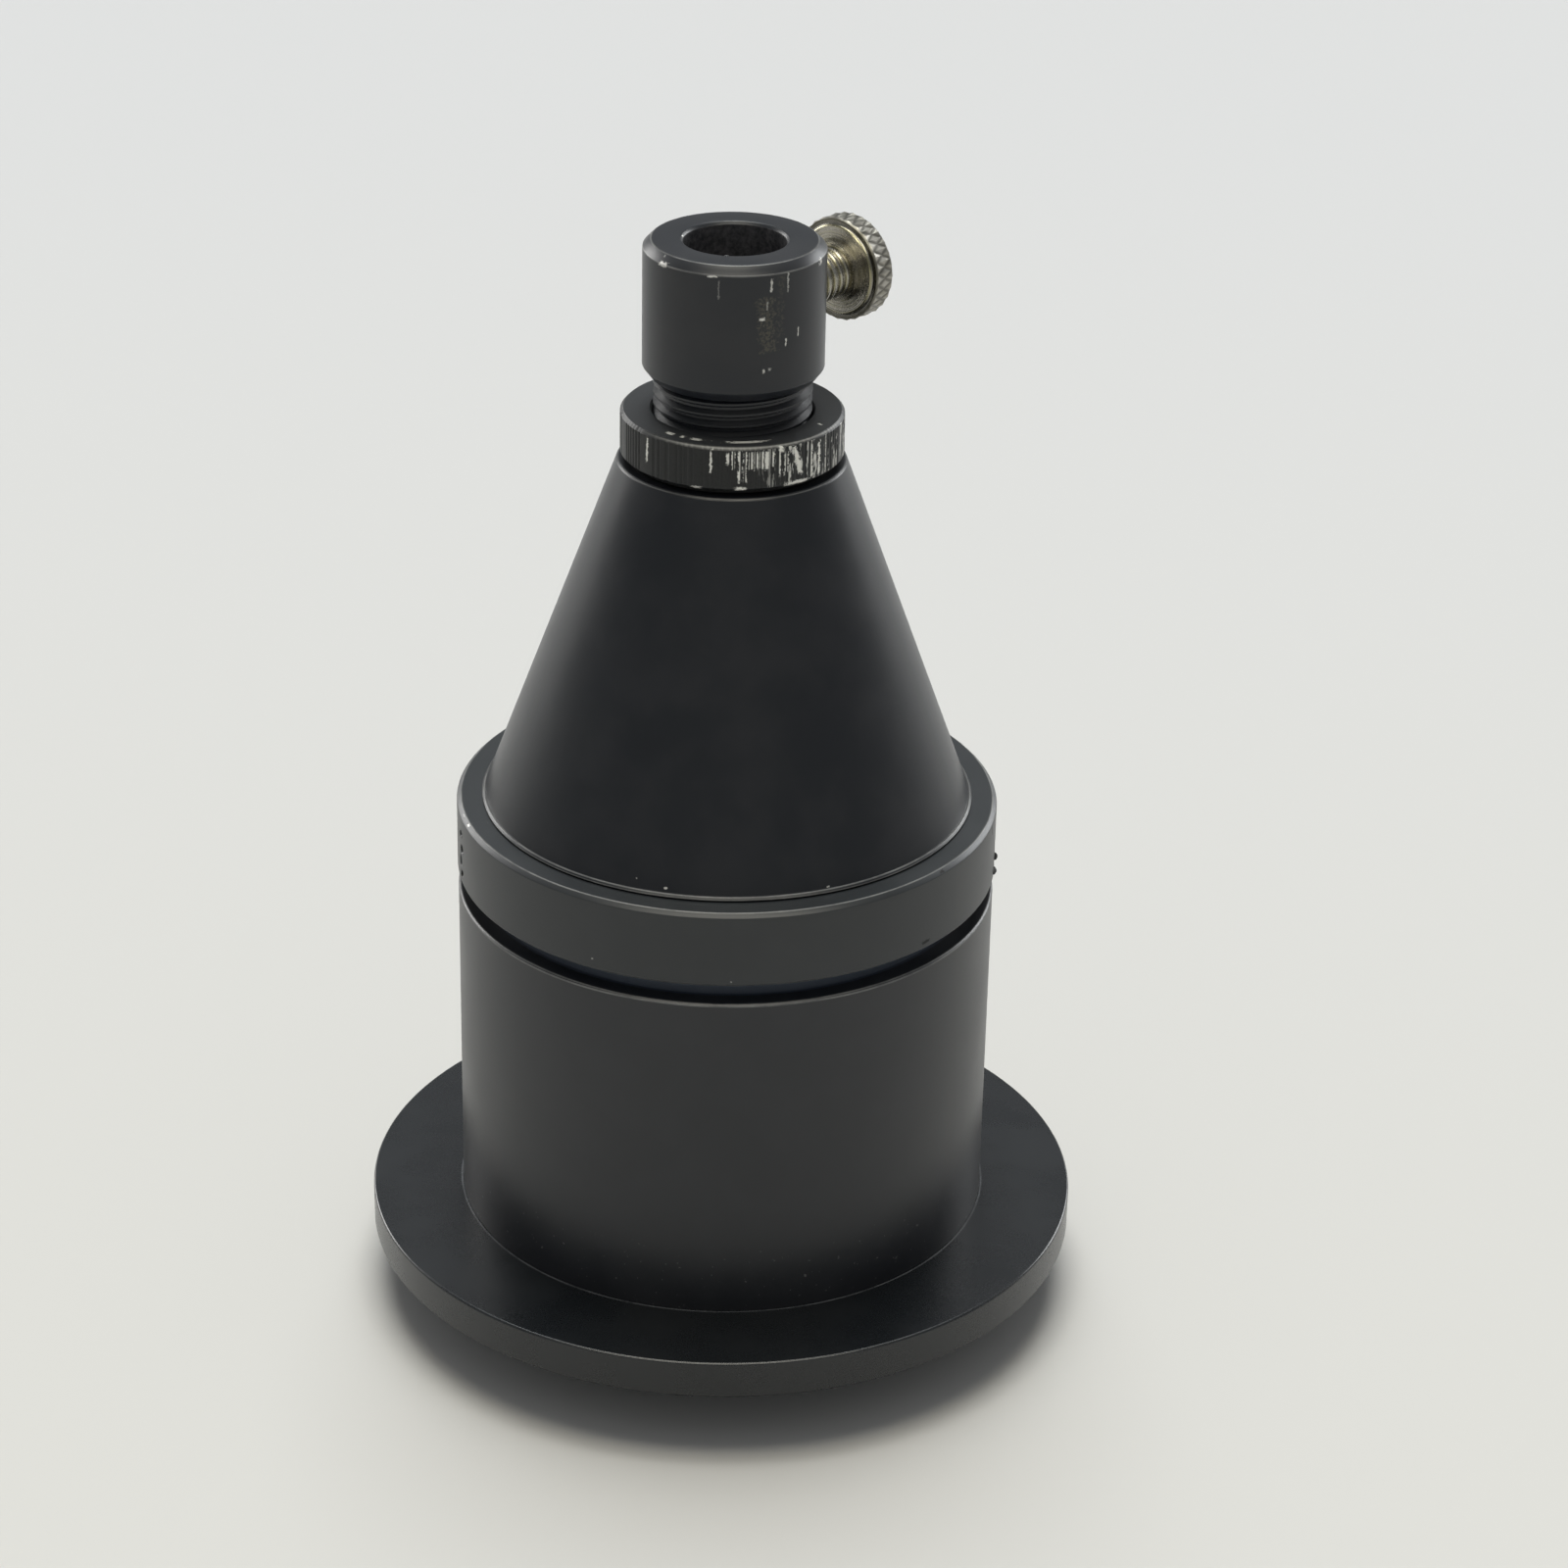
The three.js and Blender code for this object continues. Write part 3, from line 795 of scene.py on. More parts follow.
@dataclass(frozen=True)
class CoatedGlass:
    """Polished optical glass with an anti-reflection coating and a little dust."""

    name: str
    tint: Colour = (0.93, 0.97, 0.98)
    dusty: Colour = (0.8, 0.8, 0.78)
    polish: float = 0.015
    index: float = 1.52
    coat: float = 0.4
    coat_tint: Colour = (0.72, 0.66, 0.95)

    def on(self, *objects: bpy.types.Object) -> None:
        """Makes the material.

        Args:
            objects: The objects that it is given to.
        """
        material = bpy.data.materials.new(self.name)
        graph = Graph(material)
        dust = graph.noise(graph.place(), 1.8, 6, 0.7)
        graph.principled(
            {
                "Base Color": graph.blend(dust.rise(0.66, 0.74), self.tint, self.dusty),
                "Roughness": self.polish + dust.rise(0.62, 0.75) * 0.12,
                "IOR": self.index,
                "Transmission Weight": 1.0,
                "Coat Weight": self.coat,
                "Coat Tint": (*self.coat_tint, 1.0),
            }
        )
        dress(material, objects)


def dress(material: bpy.types.Material, objects: Iterable[bpy.types.Object]) -> None:
    """Gives one material to objects, in place of what they have.

    Args:
        material: The material.
        objects: The objects.
    """
    for obj in objects:
        obj.data.materials.clear()
        obj.data.materials.append(material)


class Stock(Enum):
    """Finishes that several pieces share."""

    BODY = Anodised("Anodised body")
    MATTE = PlainSurface(
        "Matte black lining", (0.006, 0.006, 0.006), (0.012, 0.012, 0.012), 0.75, grain=6, relief=0.006
    )
    SCREW_STEEL = PlainSurface(
        "Black oxide steel", (0.05, 0.05, 0.055), (0.085, 0.083, 0.08), 0.38, 0.9, grain=4
    )
    SPRING_STEEL = PlainSurface(
        "Oiled spring steel", (0.22, 0.22, 0.22), (0.32, 0.31, 0.3), 0.32, 1.0, grain=5
    )
    RUBBER = PlainSurface(
        "Seal rubber", (0.008, 0.008, 0.008), (0.014, 0.014, 0.013), 0.7, grain=7, relief=0.008
    )
    NYLON = PlainSurface("Natural nylon", (0.62, 0.60, 0.52), (0.7, 0.68, 0.62), 0.45, grain=2)
    GLASS = CoatedGlass("Coated glass")


# ---------------------------------------------------------------- mounting flange


@dataclass
class MountingFlange:
    """The flange, its spigot with a clamp groove, and the screws that hold it to the barrel."""

    aperture: float = 17.0
    spigot: float = 19.0
    spigot_chamfer: float = 0.5
    groove_depth: float = 0.5
    groove_height: float = 3.0
    groove_half: float = 1.0
    plate_bottom: float = 6.0
    plate_top: float = 9.7
    plate_edge: float = 0.25
    barrel_foot: float = 24.85
    screw_circle: float = 22.5
    screw_count: int = 4
    first_azimuth: float = 45.0
    screw_radius: float = 1.2
    screw_head: float = 2.3
    screw_length: float = 7.5
    screw_point: float = 0.3
    thread_depth: float = 0.12
    thread_pitch: float = 0.45
    thread_start: float = 1.9
    thread_turns: int = 11
    socket: float = 0.75
    socket_depth: float = 0.9
    play: float = 0.1
    edge_break: float = 0.06
    screw_break: float = 0.05

    def __post_init__(self) -> None:
        """Takes the outer size from the frame."""
        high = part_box("mount_flange")[1]
        self.radius, self.top = high.x / MM, high.z / MM

    def body(self) -> Workpiece:
        """Turns the flange and countersinks its holes.

        Returns:
            The flange.
        """
        plate = Workpiece.turned(
            "Flange_plate",
            [
                (self.aperture, 0),
                (self.spigot - self.spigot_chamfer, 0),
                (self.spigot, self.spigot_chamfer),
                (self.spigot, self.groove_height - self.groove_half),
                (self.spigot - self.groove_depth, self.groove_height),
                (self.spigot, self.groove_height + self.groove_half),
                (self.spigot, self.plate_bottom),
                (self.radius - self.plate_edge, self.plate_bottom),
                (self.radius, self.plate_bottom + self.plate_edge),
                *rounded(self.radius, self.plate_top, self.plate_edge),
                (self.spigot, self.plate_top),
                (self.spigot, self.top),
                (self.aperture, self.top),
            ],
            FINEST,
        ).soften(self.edge_break)
        mouth, shank = self.screw_head + self.play, self.screw_radius + self.play
        for azimuth in self.azimuths():
            spot = direction(azimuth) * self.screw_circle
            tool = Workpiece.turned(
                "countersink",
                [
                    (mouth + PAST, self.plate_bottom - PAST),
                    (shank, self.plate_bottom + mouth - shank),
                    (shank, self.plate_top + PAST),
                ],
                SMALL,
                solid=True,
            )
            plate.carve(tool.move(spot.x, spot.y, 0))
        return plate

    def azimuths(self) -> list[float]:
        """Where the screws stand."""
        return [self.first_azimuth + 360 * i / self.screw_count for i in range(self.screw_count)]

    def screws(self) -> list[Workpiece]:
        """Turns one countersunk screw and copies it.

        Returns:
            The screws, in their places.
        """
        head = self.plate_bottom + self.play
        cone = self.screw_head - self.screw_radius
        screw = Workpiece.turned(
            "Flange_screw_1",
            [
                (self.screw_head, head),
                (self.screw_radius, head + cone),
                (self.screw_radius, head + self.screw_length - self.screw_point),
                (self.screw_radius - self.screw_point, head + self.screw_length),
            ],
            SMALL,
            solid=True,
        ).soften(self.screw_break)
        screw.carve(drill(self.socket, head - PAST, head + self.socket_depth, HEX))
        core, start = self.screw_radius - self.thread_depth, head + self.thread_start
        screw.join(thread_ridge(core, self.screw_radius, self.thread_pitch, start, self.thread_turns, TINY))
        screws = [screw] + [screw.copy(f"Flange_screw_{i + 1}") for i in range(1, self.screw_count)]
        for piece, azimuth in zip(screws, self.azimuths()):
            spot = direction(azimuth) * self.screw_circle
            piece.move(spot.x, spot.y, 0)
        return screws

    def build(self) -> None:
        """Makes and dresses the flange and its screws."""
        plate = self.body().finish("base", "anodised_body", "mount_flange")
        Anodised(
            "Anodised flange",
            colour=(0.0046, 0.0064, 0.0084),
            faded=(0.0068, 0.0086, 0.0108),
            roughness=0.28,
            gloss=0.58,
            # A lighter ring on the flange's top at the barrel's foot: rubbed anodising and a painted
            # highlight line at the joint.
            edges=((self.barrel_foot, self.plate_top),),
            edge=(0.150, 0.156, 0.168),
        ).on(plate)
        screws = [
            piece.finish("base", "screw_steel", f"flange_screw_{i + 1}")
            for i, piece in enumerate(self.screws())
        ]
        Stock.SCREW_STEEL.value.on(*screws)


# ---------------------------------------------------------------- lens barrel


@dataclass
class LensBarrel:
    """The barrel with its threaded neck, and the screw that keys the cone."""

    register: float = 19.1
    register_top: float = 11.0
    aperture: float = 17.0
    seat_gap: float = 0.05
    lens_bore: float = 20.1
    guide_bore: float = 20.7
    guide_bore_bottom: float = 35.2
    shoulder: float = 41.4
    shoulder_edge: float = 0.18
    neck: float = 23.0
    neck_pitch: float = 0.75
    neck_depth: float = 0.3
    thread_lead: float = 0.9
    guide_azimuth: float = 115.0
    guide_height: float = 38.9
    guide_radius: float = 1.5
    guide_sunk: float = 0.2
    dog_radius: float = 1.0
    dog_length: float = 1.4
    socket: float = 0.75
    play: float = 0.1
    edge_break: float = 0.07
    screw_break: float = 0.08
    dusty_height: float = 8.0

    def __post_init__(self) -> None:
        """Takes the outer size from the frame."""
        low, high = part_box("lens_barrel")
        self.radius, self.bottom, self.top = high.x / MM, low.z / MM, high.z / MM
        self.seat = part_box("lens_seat_ring")[0].z / MM - self.seat_gap

    def tube(self) -> Workpiece:
        """Turns the barrel, drills it and cuts its neck's thread.

        Returns:
            The barrel.
        """
        core = self.neck - self.neck_depth
        barrel = Workpiece.turned(
            "Barrel_tube",
            [
                (self.register, self.bottom),
                (self.radius, self.bottom),
                (self.radius, self.shoulder - self.shoulder_edge),
                (self.radius - self.shoulder_edge, self.shoulder),
                (core, self.shoulder),
                (core, self.top),
                (self.guide_bore, self.top),
                (self.guide_bore, self.guide_bore_bottom),
                (self.lens_bore, self.guide_bore_bottom),
                (self.lens_bore, self.seat),
                (self.aperture, self.seat),
                (self.aperture, self.register_top),
                (self.register, self.register_top),
            ],
        ).soften(self.edge_break)
        flange = MountingFlange()
        deep = flange.plate_bottom + flange.screw_length + PAST
        hole = drill(self.guide_radius + self.play, self.lens_bore, self.radius + PAST)
        tools = [hole.lay_along(self.guide_azimuth, self.guide_height)]
        for azimuth in flange.azimuths():
            spot = direction(azimuth) * flange.screw_circle
            hole = drill(flange.screw_radius + self.play, self.bottom - PAST, deep)
            tools.append(hole.move(spot.x, spot.y, 0))
        barrel.carve(*tools)
        start = self.shoulder + self.neck_pitch * self.thread_lead
        turns = int((self.top - self.shoulder - self.neck_pitch) / self.neck_pitch)
        return barrel.join(thread_ridge(core, self.neck, self.neck_pitch, start, turns, FINE))

    def guide_screw(self) -> Workpiece:
        """Turns the dog-point set screw that keys the cone.

        Returns:
            The screw, in its place.
        """
        outer = self.radius - self.guide_sunk
        inner = self.guide_bore + self.play
        screw = Workpiece.turned(
            "Guide_screw_key",
            [
                (self.dog_radius, inner - self.dog_length),
                (self.dog_radius, inner),
                (self.guide_radius, inner),
                (self.guide_radius, outer),
            ],
            SMALL,
            solid=True,
        ).soften(self.screw_break)
        screw.carve(drill(self.socket, (outer + inner) / 2, outer + PAST, HEX))
        return screw.lay_along(self.guide_azimuth, self.guide_height)

    def build(self) -> None:
        """Makes and dresses the barrel and its guide screw."""
        tube = self.tube().finish("base", "anodised_body", "lens_barrel")
        # The shoulder's edges are lightened: rubbed anodising and painted highlight lines.
        edges = (
            (self.radius, self.shoulder - self.shoulder_edge),
            (self.radius - self.shoulder_edge, self.shoulder),
        )
        Anodised(
            "Anodised barrel",
            colour=(0.0072, 0.0088, 0.0126),
            faded=(0.0108, 0.0123, 0.0165),
            roughness=0.37,
            gloss=0.52,
            edges=edges,
            # The neck and bore are lighter and bluer: painted light in the groove under the collar and inside
            # the barrel.
            lining=self.neck,
            dust=self.bottom + self.dusty_height,
            rough_and_lit_lining=(0.056, 0.070, 0.096),
            rough_relief=1.0,
        ).on(tube)
        Stock.SCREW_STEEL.value.on(self.guide_screw().finish("base", "screw_steel", "guide_screw"))


# ---------------------------------------------------------------- lenses


@dataclass
class LensGroup:
    """The cemented doublet, the entry lens, and the rings that hold them."""

    radius: float = 20.0
    crown_outward: float = 62.0
    joined: float = 45.0
    flint_inward: float = 150.0
    entry_outward: float = 70.0
    entry_inward: float = 120.0
    seat_width: float = 2.4
    spacer_width: float = 1.6
    retainer_width: float = 1.8
    slot_width: float = 1.2
    slot_depth: float = 0.8
    gap: float = 0.05
    edge_break: float = 0.06
    steps: int = 12
    first_step: float = 0.25

    def lens(self, name: str, lower: Surface, upper: Surface) -> Workpiece:
        """Turns a lens.

        Args:
            name: Its name.
            lower: The height of its lower surface at a radius.
            upper: The height of its upper surface at a radius.

        Returns:
            The lens.
        """
        last = self.steps + self.first_step
        radii = [(i + self.first_step) / last * self.radius for i in range(self.steps + 1)]
        points = [(r, lower(r)) for r in radii] + [(r, upper(r)) for r in reversed(radii)]
        return Workpiece.turned(name, points, MEDIUM, solid=True)

    def ring(self, name: str, width: float, lower: Surface, upper: Surface) -> Workpiece:
        """Turns a ring whose faces follow the surfaces that it meets.

        Args:
            name: Its name.
            width: Its width.
            lower: The height of its lower face at a radius.
            upper: The height of its upper face at a radius.

        Returns:
            The ring.
        """
        inner = self.radius - width
        points = [(inner, lower(inner)), (self.radius, lower(self.radius))]
        points += [(self.radius, upper(self.radius)), (inner, upper(inner))]
        return Workpiece.turned(name, points, MEDIUM).soften(self.edge_break)

    def build(self) -> None:
        """Makes and dresses the lenses and rings."""
        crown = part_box("doublet_crown")[0].z / MM
        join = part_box("doublet_crown")[1].z / MM
        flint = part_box("doublet_flint")[1].z / MM
        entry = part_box("entry_lens")[0].z / MM
        entry_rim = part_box("entry_lens")[1].z / MM
        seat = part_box("lens_seat_ring")[0].z / MM
        retainer, retainer_top = (corner.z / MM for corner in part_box("lens_retaining_ring"))

        def crown_bottom(r: float) -> float:
            """Height of the crown's lower surface."""
            return crown + sag(self.crown_outward, r)

        def join_height(r: float) -> float:
            """Height of the crown's upper surface."""
            return join - sag(self.joined, r)

        def flint_top(r: float) -> float:
            """Height of the flint's upper surface."""
            return flint - sag(self.flint_inward, r)

        def entry_bottom(r: float) -> float:
            """Height of the entry lens's lower surface."""
            return entry + sag(self.entry_outward, r)

        def entry_top(r: float) -> float:
            """Height of the entry lens's upper surface."""
            return entry_rim - sag(self.entry_inward, self.radius) + sag(self.entry_inward, r)

        def above(surface: Surface, gap: float = self.gap) -> Surface:
            """A surface that stands a gap above another, or below it by a negative one."""
            return lambda r: surface(r) + gap

        lenses = [
            self.lens(name, lower, upper).finish("base", "lens_glass", node)
            for name, lower, upper, node in (
                ("Doublet_crown_lens", crown_bottom, join_height, "doublet_crown"),
                ("Doublet_flint_lens", above(join_height), flint_top, "doublet_flint"),
                ("Entry_lens_glass", entry_bottom, entry_top, "entry_lens"),
            )
        ]
        Stock.GLASS.value.on(*lenses)
        seal = self.ring("Lens_seat_seal", self.seat_width, lambda r: seat, above(crown_bottom, -self.gap))
        Stock.RUBBER.value.on(seal.finish("base", "seal_rubber", "lens_seat_ring"))
        lower, upper = above(flint_top), above(entry_bottom, -self.gap)
        spacer = self.ring("Lens_spacer_ring", self.spacer_width, lower, upper)
        holder = self.ring("Lens_retainer", self.retainer_width, lambda r: retainer, lambda r: retainer_top)
        slot = block(3 * self.radius, self.slot_width, 2 * self.slot_depth)
        holder.carve(slot.move(0, 0, retainer_top))
        Stock.MATTE.value.on(
            spacer.finish("base", "matte_black", "lens_spacer"),
            holder.finish("base", "matte_black", "lens_retaining_ring"),
        )


# ---------------------------------------------------------------- cone


@dataclass
class ConeUnit:
    """The cone with its skirt, the baffle inside it, and the snap ring that holds the collar."""

    skirt: float = 20.6
    skirt_bore: float = 18.6
    skirt_bottom: float = 36.9
    foot: float = 22.45
    foot_bottom: float = 50.36
    foot_edge: float = 0.12
    lip: float = 0.22
    ledge: float = 0.12
    top_radius: float = 10.15
    top_edge: float = 0.18
    wall: float = 2.35
    stem_hole: float = 7.1
    thread_bottom: float = 73.1
    groove: float = 20.1
    groove_bottom: float = 47.95
    groove_top: float = 48.9
    baffle_aperture: float = 10.5
    baffle_land: float = 0.25
    baffle_slant: float = 0.6
    slot_azimuth: float = 115.0
    slot_half: float = 1.1
    slot_top: float = 41.6
    slot_reach: float = 6.0
    snap_play: float = 0.05
    snap_width: float = 1.7
    snap_opening: float = 4.0
    snap_tool: float = 5.0
    snap_break: float = 0.08
    edge_break: float = 0.05

    def __post_init__(self) -> None:
        """Takes the top from the frame."""
        self.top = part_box("cone_housing")[1].z / MM
        self.slope = (self.foot - self.top_radius) / (self.top - self.foot_bottom)

    def surface(self, height: float) -> float:
        """The cone's outer radius at a height."""
        return self.foot - self.slope * (height - self.foot_bottom)

    def housing(self) -> Workpiece:
        """Turns the cone and skirt and cuts the slot that the guide screw runs in.

        Returns:
            The cone.
        """
        bore_top = self.foot_bottom + (self.foot - self.wall - self.skirt_bore) / self.slope
        cone = Workpiece.turned(
            "Cone_shell",
            [
                (self.skirt_bore, self.skirt_bottom),
                (self.skirt, self.skirt_bottom),
                (self.skirt, self.groove_bottom),
                (self.groove, self.groove_bottom),
                (self.groove, self.groove_top),
                (self.skirt, self.groove_top),
                (self.skirt, self.foot_bottom),
                (self.foot - self.foot_edge, self.foot_bottom),
                (self.foot, self.foot_bottom + self.foot_edge),
                (self.foot - self.lip, self.foot_bottom + self.foot_edge + self.lip),
                (self.foot - self.lip - self.ledge, self.foot_bottom + self.foot_edge + self.lip),
                (self.top_radius + self.slope * self.top_edge, self.top - self.top_edge),
                (self.top_radius - self.top_edge, self.top),
                (self.stem_hole, self.top),
                (self.stem_hole, self.thread_bottom),
                (self.surface(self.thread_bottom) - self.wall, self.thread_bottom),
                (self.skirt_bore, bore_top),
            ],
        ).soften(self.edge_break)
        low = self.skirt_bottom - PAST
        slot = block(self.slot_reach, 2 * self.slot_half, self.slot_top - low, self.slot_azimuth)
        spot = direction(self.slot_azimuth) * self.skirt
        slot.move(spot.x, spot.y, (self.slot_top + low) / 2)
        return cone.carve(slot)

    def baffle(self) -> Workpiece:
        """Turns the baffle, with a knife edge at its hole.

        Returns:
            The baffle.
        """
        low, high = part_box("cone_baffle")
        top, bottom, outer = high.z / MM, low.z / MM, high.x / MM
        return Workpiece.turned(
            "Cone_baffle_disc",
            [
                (self.baffle_aperture, top - self.baffle_land),
                (self.baffle_aperture + self.baffle_slant, bottom),
                (outer, bottom),
                (outer, top),
                (self.baffle_aperture, top),
            ],
            MEDIUM,
        ).soften(self.edge_break)

    def snap_ring(self) -> Workpiece:
        """Turns the spring ring and opens it.

        Returns:
            The spring ring.
        """
        low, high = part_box("collar_snap_ring")
        inner = self.groove + self.snap_play
        outer = inner + self.snap_width
        ring = Workpiece.turned(
            "Collar_snap_spring",
            [(inner, low.z / MM), (outer, low.z / MM), (outer, high.z / MM), (inner, high.z / MM)],
            MEDIUM,
        ).soften(self.snap_break)
        gap = block(3 * self.snap_width, self.snap_opening, self.snap_tool, -self.slot_azimuth)
        spot = direction(-self.slot_azimuth) * (inner + outer) / 2
        gap.move(spot.x, spot.y, low.z / MM)
        return ring.carve(gap)

    def build(self) -> None:
        """Makes and dresses the cone, baffle and snap ring."""
        cone = self.housing().finish("cone", "anodised_body", "cone_housing")
        flecks = (
            Mark(-103.8, 50.95, 51.2, 0.3),
            Mark(-111, 51.4, 51.6, 0.2, 0.5),
            Mark(-66, 50.75, 50.95, 0.35, 0.8),
        )
        lip = self.foot_bottom + self.foot_edge + self.lip
        # The cone's lip and top edge are lightened: rubbed anodising and painted highlight lines.
        edges = ((self.foot - self.lip, lip), (self.foot, lip - self.lip), (self.top_radius, self.top - 0.05))
        Anodised("Anodised cone", roughness=0.33, gloss=0.33, marks=flecks, edges=edges).on(cone)
        Stock.MATTE.value.on(self.baffle().finish("cone", "matte_black", "cone_baffle"))
        Stock.SPRING_STEEL.value.on(self.snap_ring().finish("cone", "spring_steel", "collar_snap_ring"))


# ---------------------------------------------------------------- focusing collar


@dataclass
class FocusingCollar:
    """The collar that turns on the barrel's neck."""

    bore: float = 23.1
    lip: float = 20.7
    lip_bottom: float = 48.9
    foot_edge: float = 0.2
    top_edge: float = 0.4
    pit_azimuth: float = -167.0
    pit_heights: tuple[float, ...] = (48.2, 46.8, 45.5, 44.3)
    pit_size: float = 0.68
    pit_wander: float = 1.2
    pit_outward: float = 0.25
    burr_azimuth: float = -5.0
    burr_heights: tuple[float, ...] = (44.9, 43.85)
    burr_size: float = 0.32
    burr_wander: float = 2.0
    lump_tip: float = 0.5
    uneven: float = 0.12
    edge_break: float = 0.06

    def __post_init__(self) -> None:
        """Takes the outer size from the frame."""
        low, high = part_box("focusing_collar")
        self.radius, self.bottom, self.top = high.x / MM, low.z / MM, high.z / MM

    def body(self) -> Workpiece:
        """Turns the collar, with the pits and burrs that a plier left on it.

        Returns:
            The collar.
        """
        ring = Workpiece.turned(
            "Focusing_collar_ring",
            [
                (self.bore, self.bottom),
                (self.radius - self.foot_edge, self.bottom),
                (self.radius, self.bottom + self.foot_edge),
                (self.radius, self.top - self.top_edge),
                (self.radius - self.top_edge, self.top),
                (self.lip, self.top),
                (self.lip, self.lip_bottom),
                (self.bore, self.lip_bottom),
            ],
        ).soften(self.edge_break)
        for i, height in enumerate(self.pit_heights):
            azimuth = self.pit_azimuth + self.pit_wander * (i % 2)
            stretch = (0.8, 1.0, 0.6 + 0.2 * (i % 3))
            ring.carve(self.lump_at(azimuth, self.radius + self.pit_outward, height, self.pit_size, stretch))
        for i, height in enumerate(self.burr_heights):
            azimuth = self.burr_azimuth - self.burr_wander * i
            stretch = (0.9, 1.3, 0.45 + 0.3 * i)
            ring.join(self.lump_at(azimuth, self.radius, height, self.burr_size, stretch))
        return ring

    def lump_at(
        self, azimuth: float, radius: float, height: float, size: float, stretch: tuple[float, float, float]
    ) -> Workpiece:
        """Makes a small uneven lump.

        Args:
            azimuth: Where its middle is.
            radius: How far out it is.
            height: How high it is.
            size: Its radius.
            stretch: Its scale outwards, sideways and upwards.

        Returns:
            The lump, in its place.
        """
        ball = lump(size, self.uneven, seed=int(height * 10))
        ball.obj.scale = stretch
        ball.obj.rotation_euler = (self.lump_tip, 0, math.radians(azimuth))
        spot = direction(azimuth) * radius
        return ball.move(spot.x, spot.y, height)

    def build(self) -> None:
        """Makes and dresses the collar."""
        ring = self.body().finish("collar", "anodised_collar", "focusing_collar")
        bare_marks = (
            Mark(-161.5, 50.0, 50.28, 0.6),
            Mark(-166, 50.1, 50.25, 0.9, 0.3),
            Mark(-32, 43.22, 43.42, 3.4, 0.75),
            Mark(-88.7, 43.6, 43.8, 0.25, 0.5),
            Mark(-118, 44.2, 44.4, 0.25, 0.5),
        )
        pits = (
            *(Mark(self.pit_azimuth + 0.6, height - 0.4, height + 0.4, 0.9) for height in self.pit_heights),
            Mark(-44, 43.7, 44.15, 1.1, 0.8),
            Mark(-38.9, 49.9, 50.2, 0.7, 0.9),
            Mark(-13, 48.6, 49.9, 0.4, 0.5, -0.4),
            Mark(self.burr_azimuth, 43.3, 45.3, 1.6, 0.9),
        )
        Anodised(
            "Anodised collar",
            colour=(0.0112, 0.0142, 0.0172),
            faded=(0.0150, 0.0180, 0.0212),
            roughness=0.40,
            gloss=0.55,
            marks=bare_marks,
            pits=pits,
            # The collar's top and bottom edges are lightened: rubbed anodising and painted highlight lines.
            edges=((self.radius - self.top_edge, self.top), (self.radius - 0.05, self.bottom + 0.05)),
        ).on(ring)


# ---------------------------------------------------------------- lock ring


@dataclass(frozen=True)
class KnurledFinish:
    """Black anodised knurl, rubbed through to bare metal on its teeth on one side, with a painted highlight
    line along its top outer edge on the front.
    """

    name: str
    crest: float
    high: float
    rubbed: tuple[Mark, ...]
    cuts: tuple[Mark, ...]
    dashes: tuple[Mark, ...]
    colour: Colour = (0.0060, 0.0072, 0.0080)
    faded: Colour = (0.0115, 0.0125, 0.0125)
    top: Colour = (0.0300, 0.0320, 0.0345)
    metal: Colour = (0.78, 0.77, 0.72)
    roughness: float = 0.42
    gloss: float = 0.34
    relief: float = 0.004
    scuffed_side: float = -25.0
    # The azimuth of the side on which the painted highlight line along the top outer edge is strongest.
    painted_highlight_side: float = -75.0
    dash_inner: float = 8.25
    dash_outer: float = 8.85
    dash_fade: float = 0.13

    def on(self, *objects: bpy.types.Object) -> None:
        """Makes the material.

        Args:
            objects: The objects that it is given to.
        """
        material = bpy.data.materials.new(self.name)
        graph = Graph(material)
        place = graph.place()
        height = graph.height(place)
        radius = graph.from_axis(place)
        teeth = radius.rise(self.crest - 0.05, self.crest - 0.02)
        strokes = graph.noise(graph.stretch(place, (1, 1, 0.22)), 1.9, 3, 0.7)
        side = graph.along(place, tuple(direction(self.scuffed_side))).rise(5.6, 8.6)
        scuffed = strokes.rise(0.51, 0.60) * side * teeth * 0.85
        rubbed = all_marks(graph, place, self.rubbed) * teeth
        cuts = all_marks(graph, place, self.cuts)
        # Painted highlight: a line of bare metal along the top outer edge, strongest on the front side.
        rim = radius.rise(self.crest - 0.02, self.crest - 0.30)
        rim = rim * height.rise(self.high - 0.02, self.high - 0.12)
        rim = rim * height.rise(self.high - 0.34, self.high - 0.26)
        rim = rim * graph.along(place, tuple(direction(self.painted_highlight_side))).rise(3, 9)
        band = radius.rise(self.dash_outer, self.dash_outer - self.dash_fade)
        band = band * radius.rise(self.dash_inner, self.dash_inner + self.dash_fade)
        band = band * height.rise(self.high - 0.02, self.high)
        arc = all_marks(graph, place, self.dashes) * band
        bare = scuffed.at_least(rubbed).at_least(cuts).at_least(rim * 0.55).at_least(arc)
        grain = graph.noise(place, 7, 3)
        colour = graph.blend(grain.rise(0.3, 0.7), self.colour, self.faded)
        colour = graph.blend(height.rise(self.high - 0.04, self.high), colour, self.top)
        graph.principled(
            {
                "Base Color": graph.blend(bare, colour, self.metal),
                "Roughness": self.roughness + (grain - 0.5) * 0.12 - bare * 0.02,
                "Metallic": bare * 0.2,
                "Normal": graph.bump(grain - bare * 2.0, self.relief),
                "Specular IOR Level": self.gloss,
            }
        )
        dress(material, objects)


